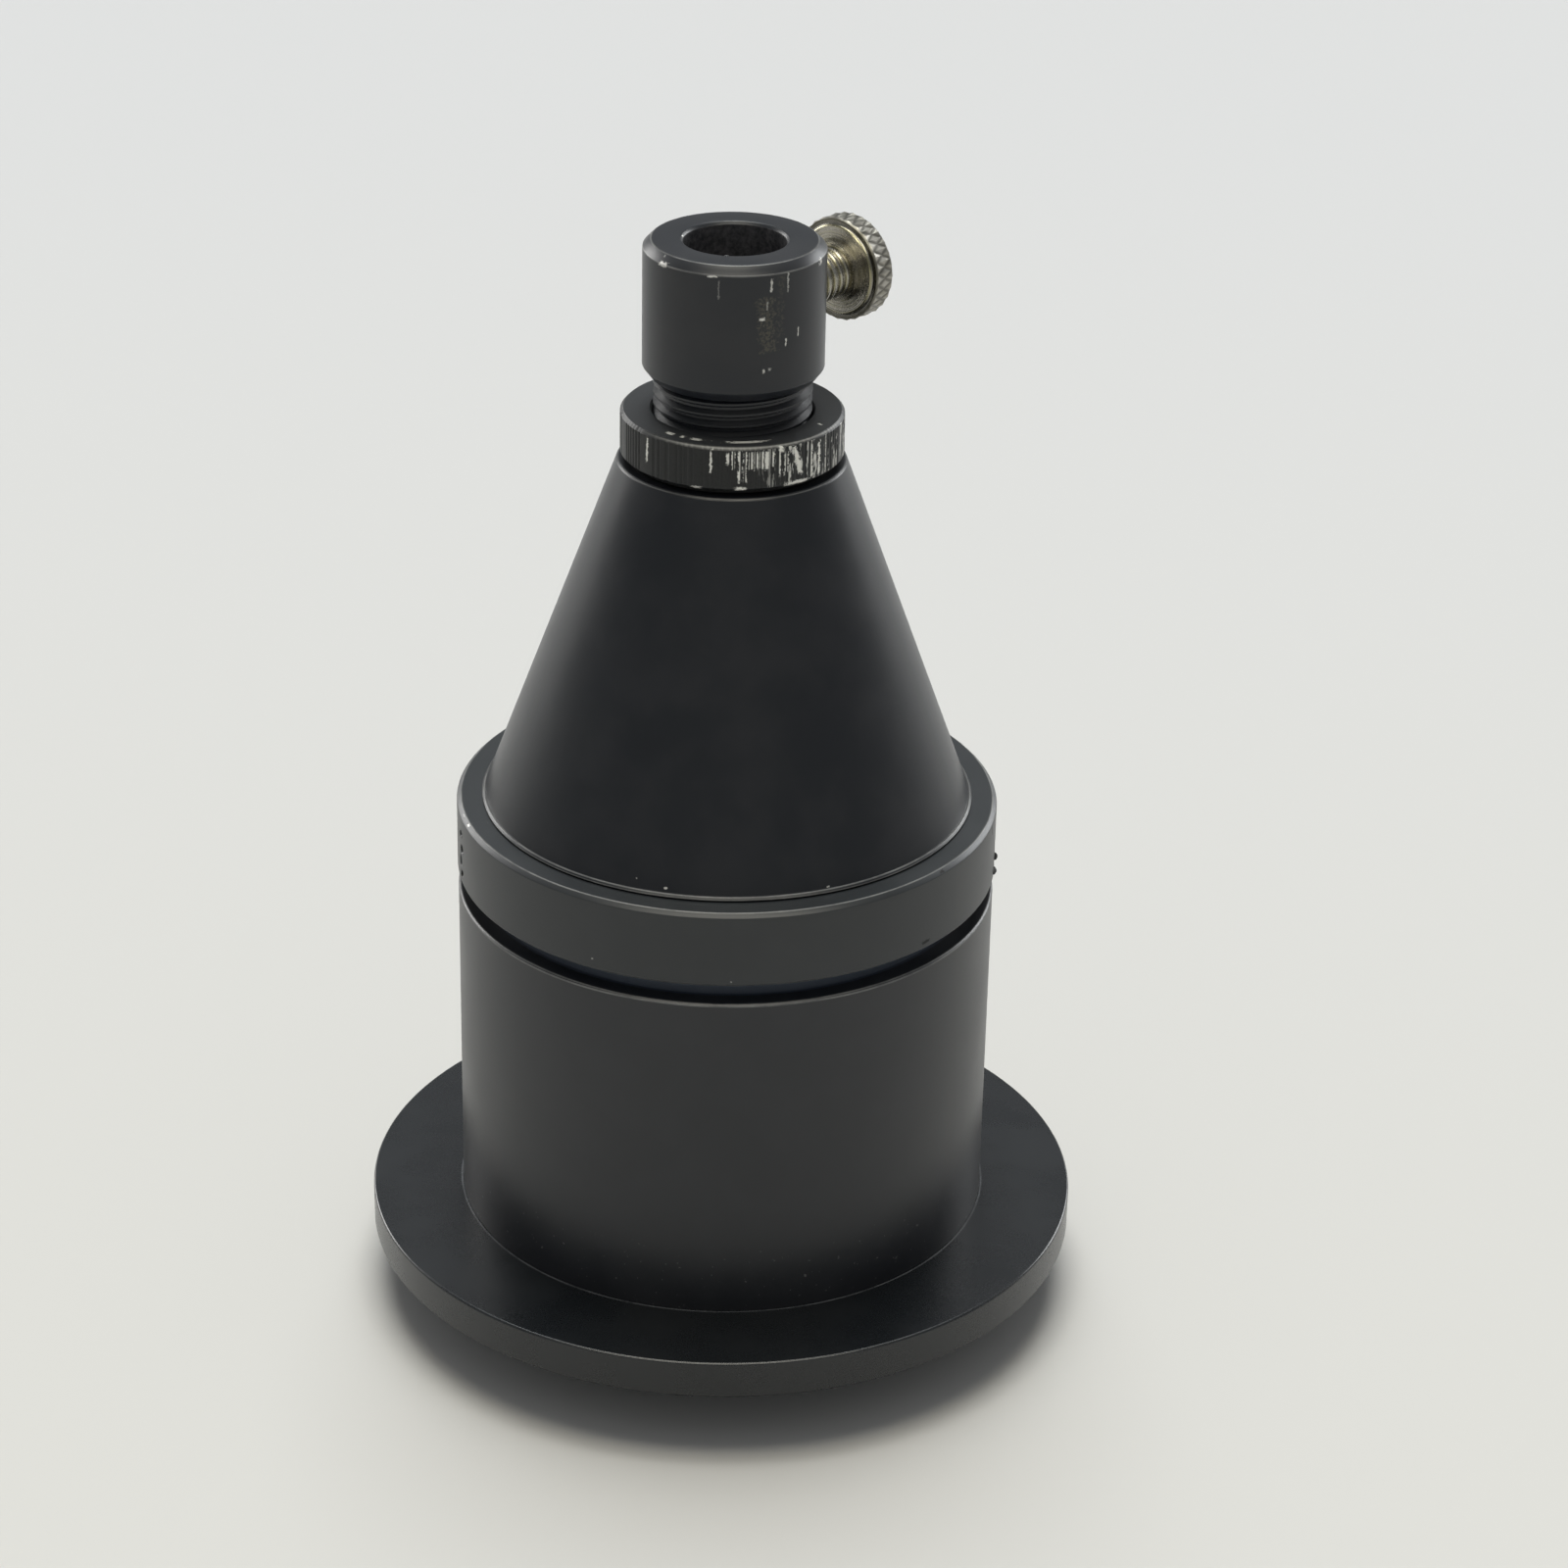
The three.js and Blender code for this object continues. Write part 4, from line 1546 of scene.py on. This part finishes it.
@dataclass
class LockRing:
    """The knurled jam ring on the stem, and the washer under it."""

    bore: float = 7.1
    edge: float = 0.3
    countersink: float = 0.2
    teeth: int = 130
    tooth_depth: float = 0.065
    washer_bore: float = 7.1
    washer_break: float = 0.08

    def __post_init__(self) -> None:
        """Takes the outer size from the frame."""
        low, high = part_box("lock_ring")
        self.radius, self.bottom, self.top = high.x / MM, low.z / MM, high.z / MM

    def ring(self) -> Workpiece:
        """Turns the ring and knurls it: every third line of vertices on its side is a groove.

        Returns:
            The ring.
        """
        piece = Workpiece.turned(
            "Knurled_lock_ring",
            [
                (self.bore, self.bottom),
                (self.radius - self.edge, self.bottom),
                (self.radius, self.bottom + self.edge),
                (self.radius, self.top - self.edge),
                (self.radius - self.edge, self.top),
                (self.bore + self.countersink, self.top),
                (self.bore, self.top - self.countersink),
            ],
            3 * self.teeth,
        )
        step = math.tau / (3 * self.teeth)

        def in_groove(place: Vector) -> bool:
            """True for the vertices at the bottom of a groove."""
            line = round(math.atan2(place.y, place.x) / step)
            return line % 3 == 0 and math.hypot(place.x, place.y) > self.radius - NEAR

        piece.select_vertices(in_groove)
        share = (self.radius - self.tooth_depth) / self.radius
        bpy.ops.transform.resize(value=(share, share, 1), center_override=(0, 0, 0))
        bpy.ops.object.mode_set(mode="OBJECT")
        return piece

    def washer(self) -> Workpiece:
        """Turns the thin washer.

        Returns:
            The washer.
        """
        low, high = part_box("lock_washer")
        outer = high.x / MM
        return Workpiece.turned(
            "Lock_washer_disc",
            [
                (self.washer_bore, low.z / MM),
                (outer, low.z / MM),
                (outer, high.z / MM),
                (self.washer_bore, high.z / MM),
            ],
            MEDIUM,
        ).soften(self.washer_break)

    def build(self) -> None:
        """Makes and dresses the ring and washer."""
        ring = self.ring().finish("lock_ring", "anodised_knurled", "lock_ring", smooth=20)
        rubbed = (
            Mark(-92.1, 86.1, 87.3, 0.34),
            Mark(-89.4, 85.6, 87.5, 0.36),
            Mark(-85.9, 84.4, 87.5, 0.40),
            Mark(-83.2, 84.3, 87.4, 0.34),
            *(Mark(-80.5 + 2.77 * i, 85.6, 87.35, 0.46, ragged=0.3) for i in range(4)),
            Mark(-69.0, 85.7, 87.2, 0.34),
            Mark(-65.8, 84.8, 87.2, 0.40),
            Mark(-61.5, 84.9, 87.0, 0.5, 0.8),
            Mark(-46.4, 83.9, 87.3, 0.50),
            Mark(-40.3, 84.1, 87.2, 0.40),
            Mark(-34.0, 83.9, 87.1, 0.40),
        )
        cuts = (
            Mark(-138, 84.9, 87.4, 0.26, 1.0, 0.04),
            Mark(-100.5, 85.3, 87.5, 0.24, 1.0, 0.02),
            Mark(-85.5, 83.66, 84.15, 1.2, ragged=0.6),
            Mark(-55, 83.66, 84.2, 3.0, 0.9, ragged=0.7),
            Mark(-108, 83.66, 84.0, 1.1, 0.6, ragged=0.6),
            Mark(-64.6, 86.9, 87.64, 0.55, 1.0, -0.35),
            Mark(-55, 84.6, 87.4, 0.62, 1.0, -0.30),
        )
        dashes = tuple(
            Mark(azimuth, self.top - 0.5, self.top + 0.5, width)
            for azimuth, width in ((-129, 0.8), (-120.3, 0.5), (-111, 1.2), (-82.5, 3.9), (-27, 0.3))
        )
        KnurledFinish("Worn black knurl", self.radius, self.top, rubbed, cuts, dashes).on(ring)
        Stock.RUBBER.value.on(self.washer().finish("washer", "seal_rubber", "lock_washer"))


# ---------------------------------------------------------------- ferrule holder


@dataclass
class FerruleHolder:
    """The cap on its threaded stem, bored for a ferrule, with an O-ring low on the stem."""

    stop: float = 3.6
    stop_height: float = 1.0
    bore: float = 4.5
    lead_in: float = 0.25
    stem: float = 7.0
    stem_edge: float = 0.5
    thread_depth: float = 0.45
    pitch: float = 1.0
    thread_lead: float = 0.55
    thread_end: float = 0.3
    cap: float = 8.0
    cap_bottom: float = 90.95
    cap_edge: float = 0.72
    lower_edge: float = 0.7
    lower_edge_height: float = 0.9
    seal_height: float = 76.6
    seal_half: float = 0.6
    seal_groove: float = 5.8
    seal_section: float = 0.55
    clamp_azimuth: float = 48.0
    clamp_height: float = 97.075
    clamp_hole: float = 2.5
    burr_azimuth: float = -99.0
    burr_stretch: tuple[float, float, float] = (1.3, 1.0, 0.8)
    uneven: float = 0.15
    edge_break: float = 0.07

    def __post_init__(self) -> None:
        """Takes the ends from the frame."""
        low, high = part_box("ferrule_holder")
        self.bottom, self.top = low.z / MM, high.z / MM

    def body(self) -> Workpiece:
        """Turns the cap and stem, cuts the thread and drills the clamp screw's hole.

        Returns:
            The holder.
        """
        core = self.stem - self.thread_depth
        holder = Workpiece.turned(
            "Ferrule_holder_cap",
            [
                (self.stop, self.bottom),
                (core - self.stem_edge, self.bottom),
                (core, self.bottom + self.stem_edge),
                (core, self.seal_height - self.seal_half),
                (self.seal_groove, self.seal_height - self.seal_half),
                (self.seal_groove, self.seal_height + self.seal_half),
                (core, self.seal_height + self.seal_half),
                (core, self.cap_bottom),
                (self.cap - self.lower_edge, self.cap_bottom),
                (self.cap, self.cap_bottom + self.lower_edge_height),
                (self.cap, self.top - self.cap_edge),
                (self.cap - self.cap_edge, self.top),
                (self.bore + self.lead_in, self.top),
                (self.bore, self.top - self.lead_in),
                (self.bore, self.bottom + self.stop_height),
                (self.stop, self.bottom + self.stop_height),
            ],
        ).soften(self.edge_break)
        hole = drill(self.clamp_hole, 0, self.cap + PAST).lay_along(self.clamp_azimuth, self.clamp_height)
        holder.carve(hole)
        start = self.seal_height + self.seal_half + self.pitch * self.thread_lead
        turns = int((self.cap_bottom + self.thread_end - start) / self.pitch)
        holder.carve(self.burr(size=0.3, outward=0.16, depth=0.05))
        burr = self.burr(size=0.2, outward=-0.02, depth=0.2)
        return holder.join(thread_ridge(core, self.stem, self.pitch, start, turns, MEDIUM), burr)

    def burr(self, size: float, outward: float, depth: float) -> Workpiece:
        """Makes a small lump at the front edge of the bore.

        Args:
            size: Its radius.
            outward: How far its middle is outside the bore.
            depth: How far its middle is below the cap's top.

        Returns:
            The lump, in its place.
        """
        burr = lump(size, self.uneven, seed=3)
        burr.obj.scale = self.burr_stretch
        spot = direction(self.burr_azimuth) * (self.bore + outward)
        return burr.move(spot.x, spot.y, self.top - depth)

    def seal(self) -> Workpiece:
        """Turns the O-ring.

        Returns:
            The O-ring.
        """
        middle = self.stem - self.seal_section
        sides = 20
        points = [
            (
                middle + self.seal_section * math.cos(math.tau * i / sides),
                self.seal_height + self.seal_section * math.sin(math.tau * i / sides),
            )
            for i in range(sides)
        ]
        return Workpiece.turned("Stem_seal_ring", points, MEDIUM)

    def build(self) -> None:
        """Makes and dresses the holder and its seal."""
        cap = self.body().finish("holder", "anodised_body", "ferrule_holder")
        marks = (
            Mark(-140.4, 102.2, 102.75, 1.15),
            Mark(-143, 102.9, 103.15, 0.3, 0.4),
            Mark(-103.6, 102.25, 102.5, 0.9),
            Mark(-99.5, 100.3, 102.1, 0.18, 0.22),
            Mark(-23, 101.95, 102.6, 0.7),
            Mark(-66.6, 100.9, 102.2, 0.22, 0.8),
            Mark(-55.2, 100.6, 102.6, 0.18, 0.55),
            Mark(-69.3, 99.2, 100.2, 0.16, 0.4),
            Mark(-72.3, 98.35, 98.75, 0.55),
            Mark(-56, 95.8, 96.7, 0.17, 0.9),
            Mark(-46.5, 96.4, 97.3, 0.17),
            Mark(-71, 93.6, 94.1, 0.22, 0.8),
            Mark(-67, 93.8, 94.15, 0.32, 0.5),
            # A painted glint: a bare mark in the bore's lead-in on the left that stands in for a highlight.
            Mark(170, 102.98, 103.12, 0.4),
        )
        stains = (Mark(-69, 95.4, 100.6, 1.9, 0.75, -0.1), Mark(-60, 96.5, 102.4, 0.9, 0.35))
        Anodised(
            "Anodised cap",
            colour=(0.0090, 0.0112, 0.0158),
            marks=marks,
            stains=stains,
            # The cap's chamfer edges are lightened: rubbed anodising and painted highlight lines.
            edges=((self.cap - self.cap_edge, self.top), (self.cap, self.top - self.cap_edge)),
            # The bore is lighter and mottled: rough texture, with painted light falling into it.
            lining=self.bore,
        ).on(cap)
        Stock.RUBBER.value.on(self.seal().finish("stem_seal", "seal_rubber", "stem_o_ring"))


# ---------------------------------------------------------------- thumbscrew


@dataclass(frozen=True)
class NickelFinish:
    """Nickel plate over turned brass, dulled warm, with turning rings on its faces, and painted shade in a
    dark band over the groove between face and knurl and over the knurl.
    """

    name: str
    azimuth: float
    height: float
    rim: float
    plate: Colour = (0.28, 0.268, 0.232)
    bright_plate: Colour = (0.42, 0.402, 0.360)
    brass: Colour = (0.30, 0.275, 0.150)
    # The dark colour of painted shade in the groove between the face and the knurl, and over the knurl.
    painted_knurl_shade: Colour = (0.03, 0.029, 0.026)
    roughness: float = 0.24
    relief: float = 0.036

    def on(self, *objects: bpy.types.Object) -> None:
        """Makes the material.

        Args:
            objects: The objects that it is given to.
        """
        material = bpy.data.materials.new(self.name)
        graph = Graph(material)
        place = graph.place((0, 0, self.height), (0, math.pi / 2, math.radians(self.azimuth)))
        radius = graph.from_axis(place)
        rings = graph.line_noise(radius, 3.4, 3)
        cloud = graph.noise(place, 0.5, 3)
        grain = graph.noise(place, 6, 3)
        plate = graph.blend(cloud.rise(0.35, 0.65), self.plate, self.bright_plate)
        thin = rings.rise(0.45, 0.7) * radius.rise(self.rim, self.rim - 0.4) * 0.7
        brassy = graph.blend(thin, plate, self.brass)
        # Painted shade: a dark band from the face's relief groove out over the knurl.
        painted_knurl_shade = radius.rise(self.rim - 0.05, self.rim - 0.12) * radius.rise(self.rim - 0.85, self.rim - 0.5)
        knurl = radius.rise(self.rim - 0.35, self.rim - 0.15)
        graph.principled(
            {
                "Base Color": graph.blend(painted_knurl_shade * 0.62, brassy, self.painted_knurl_shade),
                "Roughness": self.roughness + (grain - 0.5) * 0.16 + (cloud - 0.5) * 0.1 + knurl * 0.14,
                "Metallic": 1.0,
                "Normal": graph.bump(rings * 2.4 + grain * 0.2, self.relief),
            }
        )
        dress(material, objects)


@dataclass
class Thumbscrew:
    """The clamp screw, whose knurled head stands beside the cap, and its nylon tip."""

    azimuth: float = 48.0
    height: float = 97.075
    start: float = 5.8
    shaft: float = 2.4
    point: float = 0.2
    thread_depth: float = 0.3
    pitch: float = 0.8
    thread_lead: float = 0.6
    thread_end: float = 0.5
    shoulder: float = 2.75
    shoulder_length: float = 0.6
    head_start: float = 13.5
    face: float = 3.95
    relief: float = 0.2
    head: float = 4.75
    edge: float = 0.18
    thickness: float = 2.34
    dish: float = 0.12
    dish_edge: float = 0.3
    centre: float = 0.6
    socket: float = 1.0
    socket_end: float = 7.6
    pilot: float = 0.4
    knurls: int = 28
    knurl_rows: int = 2
    knurl_depth: float = 0.12
    tip_start: float = 4.5
    tip: float = 1.95
    tip_length: float = 1.2
    peg: float = 0.9
    peg_length: float = 1.8
    tip_break: float = 0.08

    def head_piece(self) -> Workpiece:
        """Turns the head. Its rim is a grid of pyramids, made by pushing in every second vertex.

        Returns:
            The head, standing on the Z axis.
        """
        end = self.head_start + self.thickness
        low = self.head_start + self.relief + self.edge
        high = end - self.edge
        rows = [
            (self.head, low + (high - low) * i / self.knurl_rows)
            for i in range(self.knurl_rows + 1)
        ]
        head = Workpiece.turned(
            "Thumbscrew_clamp",
            [
                (self.shoulder, self.head_start - self.shoulder_length),
                (self.shoulder, self.head_start),
                (self.face, self.head_start),
                (self.face + self.relief, self.head_start + self.relief),
                (self.head - self.edge, self.head_start + self.relief),
                *rows,
                (self.head - self.edge, end),
                (self.face, end),
                (self.face - self.dish_edge, end - self.dish),
                (self.centre, end - self.dish),
            ],
            2 * self.knurls,
            solid=True,
        )
        step = math.tau / (2 * self.knurls)
        rise = (high - low) / self.knurl_rows

        def in_valley(place: Vector) -> bool:
            """Finds every second vertex of the rim's grid.

            Args:
                place: The vertex's place.

            Returns:
                True for a vertex that is pushed in.
            """
            if math.hypot(place.x, place.y) < self.head - NEAR:
                return False
            line = round(math.atan2(place.y, place.x) / step)
            return (line + round((place.z - low) / rise)) % 2 == 1

        head.select_vertices(in_valley)
        share = (self.head - self.knurl_depth) / self.head
        bpy.ops.transform.resize(value=(share, share, 1), center_override=(0, 0, 0))
        bpy.ops.object.mode_set(mode="OBJECT")
        bottom = self.head - self.knurl_depth - 2 * NEAR
        head.select_vertices(lambda place: math.hypot(place.x, place.y) > bottom)
        bpy.ops.mesh.quads_convert_to_tris(quad_method="SHORTEST_DIAGONAL")
        bpy.ops.object.mode_set(mode="OBJECT")
        return head

    def screw(self) -> Workpiece:
        """Turns the shaft, cuts its thread and joins the head to it.

        Returns:
            The screw, in its place.
        """
        core = self.shaft - self.thread_depth
        end = self.head_start - self.shoulder_length
        shaft = Workpiece.turned(
            "shaft",
            [
                (self.socket, self.start),
                (core - self.point, self.start),
                (core, self.start + self.point),
                (core, end + self.point),
                (self.pilot, end + self.point),
                (self.pilot, self.socket_end),
                (self.socket, self.socket_end),
            ],
            SMALL,
        )
        turns = int((end - self.start - self.thread_end) / self.pitch)
        low = self.start + self.pitch * self.thread_lead
        ridge = thread_ridge(core, self.shaft, self.pitch, low, turns, SMALL)
        return self.head_piece().join(shaft, ridge).lay_along(self.azimuth, self.height)

    def soft_tip(self) -> Workpiece:
        """The nylon tip and its peg."""
        quarter = self.tip_length / 4
        return (
            Workpiece.turned(
                "Clamp_tip_pad",
                [
                    (self.tip - quarter, self.tip_start),
                    (self.tip, self.tip_start + quarter),
                    (self.tip, self.tip_start + self.tip_length),
                    (self.peg, self.tip_start + self.tip_length),
                    (self.peg, self.tip_start + self.tip_length + self.peg_length),
                ],
                SMALL,
                solid=True,
            )
            .soften(self.tip_break)
            .lay_along(self.azimuth, self.height)
        )

    def build(self) -> None:
        """Makes and dresses the screw and its tip."""
        screw = self.screw().finish("clamp_screw", "nickel", "thumbscrew", smooth=18)
        NickelFinish("Warm nickel plate", self.azimuth, self.height, self.head).on(screw)
        Stock.NYLON.value.on(self.soft_tip().finish("clamp_tip", "tip_nylon", "thumbscrew_tip"))


# ---------------------------------------------------------------- studio


@dataclass
class Studio:
    """The pale floor, the lights and the camera."""

    distance: float = 402.9
    elevation: float = 31.766
    aim_height: float = 6.0
    tilt: float = 5.75
    pan: float = 0.782
    roll: float = -0.818
    lens: float = 95.42
    sensor: float = 36.0
    nearest: float = 0.01
    furthest: float = 20.0
    floor_size: float = 6.0
    floor_gap: float = 0.02
    # The floor's colours, warm in front and cool behind, are painted light.
    front_colour: Colour = (0.668, 0.656, 0.630)
    back_colour: Colour = (0.655, 0.655, 0.668)
    card_aim: float = 50.0
    room: Colour = (0.95, 0.98, 1.0)
    room_strength: float = 0.30

    def floor(self) -> None:
        """A wide pale sheet, warmer in front and cooler behind: painted light, standing in for the warmer
        light on the floor in front and the cooler light behind.
        """
        clear_bench()
        bpy.ops.mesh.primitive_plane_add(size=self.floor_size, location=(0, 0, -self.floor_gap * MM))
        floor = bpy.context.object
        floor.name = "Studio_floor"
        material = bpy.data.materials.new("Pale floor")
        graph = Graph(material)
        place = graph.place()
        # Painted light: the floor's colour shifts from warm in front to cool behind.
        depth = graph.along(place, (0.15, 1, 0)).rise(-190, 420)
        graph.principled(
            {
                "Base Color": graph.blend(depth, self.front_colour, self.back_colour),
                "Roughness": 0.9,
                "Specular IOR Level": 0.05,
            }
        )
        dress(material, [floor])

    def card(
        self,
        name: str,
        place: tuple[float, float, float],
        size: tuple[float, float],
        power: float,
        colour: Colour,
    ) -> None:
        """Sets up a bright card that faces the object and shows only in its gloss.

        Args:
            name: Its name.
            place: Where it is, in metres.
            size: Its width and height in metres.
            power: Its power in watts.
            colour: Its colour.
        """
        data = bpy.data.lights.new(name, "AREA")
        data.shape, data.energy, data.color = "RECTANGLE", power, colour
        data.size, data.size_y = size
        light = bpy.data.objects.new(name, data)
        bpy.context.scene.collection.objects.link(light)
        light.location = place
        towards = Vector((0, 0, self.card_aim * MM)) - Vector(place)
        light.rotation_euler = towards.to_track_quat("-Z", "Y").to_euler()
        light.visible_diffuse = False

    def skylight(
        self,
        name: str,
        towards: tuple[float, float, float],
        width: float,
        power: float,
        colour: Colour,
    ) -> None:
        """Sets up even light from a wide round patch of sky.

        Args:
            name: Its name.
            towards: The way to the middle of the patch.
            width: The patch's width in degrees.
            power: Watts to the square metre.
            colour: Its colour.
        """
        data = bpy.data.lights.new(name, "SUN")
        data.angle, data.energy, data.color = math.radians(width), power, colour
        light = bpy.data.objects.new(name, data)
        bpy.context.scene.collection.objects.link(light)
        light.rotation_euler = (-Vector(towards)).to_track_quat("-Z", "Y").to_euler()

    def lights(self) -> None:
        """Two wide skylights, three cards for the edges, and a pale room."""
        self.skylight("Skylight_rear", (-0.01, 0.39, 0.92), 38, 1.72, (0.92, 0.97, 1.0))
        self.skylight("Skylight_near", (-0.02, 0.05, 1.02), 34, 1.24, (1.0, 0.95, 0.81))
        self.card("Left_card", (-0.8, 0.7, 0.35), (0.5, 0.5), 5.5, (1.0, 0.99, 0.97))
        self.card("Right_card", (0.8, 0.7, 0.35), (0.5, 0.5), 5.5, (0.97, 0.99, 1.0))
        self.card("Front_card", (0, -0.56, 0.83), (1.2, 0.3), 6.0, (1.0, 0.96, 0.84))
        world = bpy.data.worlds.new("Pale room")
        world.use_nodes = True
        background = world.node_tree.nodes["Background"]
        background.inputs["Color"].default_value = (*self.room, 1.0)
        background.inputs["Strength"].default_value = self.room_strength
        bpy.context.scene.world = world

    def swing(self, first: Vector, second: Vector, turn: float) -> tuple[Vector, Vector]:
        """Turns two square directions in their plane, the second towards the first."""
        cosine, sine = math.cos(turn), math.sin(turn)
        return first * cosine - second * sine, first * sine + second * cosine

    def camera(self) -> None:
        """The camera, above and in front."""
        rise, tilt, pan, roll = (math.radians(v) for v in (self.elevation, self.tilt, self.pan, self.roll))
        right = Vector((1, 0, 0))
        forward = Vector((0, math.cos(rise), -math.sin(rise)))
        up = Vector((0, math.sin(rise), math.cos(rise)))
        up, forward = self.swing(up, forward, tilt)
        right, forward = self.swing(right, forward, pan)
        right, up = self.swing(right, up, roll)
        data = bpy.data.cameras.new("Camera")
        data.lens, data.sensor_width = self.lens, self.sensor
        data.clip_start, data.clip_end = self.nearest, self.furthest
        camera = bpy.data.objects.new("Camera", data)
        bpy.context.scene.collection.objects.link(camera)
        turned = Matrix((right, up, -forward)).transposed().to_4x4()
        spot = Vector((0, -math.cos(rise), math.sin(rise))) * self.distance * MM
        camera.matrix_world = Matrix.Translation(spot + Vector((0, 0, self.aim_height * MM))) @ turned
        bpy.context.scene.camera = camera

    def build(self) -> None:
        """Sets up the whole studio."""
        self.camera()
        self.floor()
        self.lights()
        bpy.context.scene.view_settings.view_transform = "Standard"


def main() -> None:
    """Builds the studio and each sub-assembly in order."""
    logging.basicConfig(level=logging.INFO, format="%(name)s: %(message)s")
    for part in (
        Studio(),
        MountingFlange(),
        LensBarrel(),
        LensGroup(),
        ConeUnit(),
        FocusingCollar(),
        LockRing(),
        FerruleHolder(),
        Thumbscrew(),
    ):
        log.info("building %s", type(part).__name__)
        part.build()


if __name__ == "__main__":
    main()
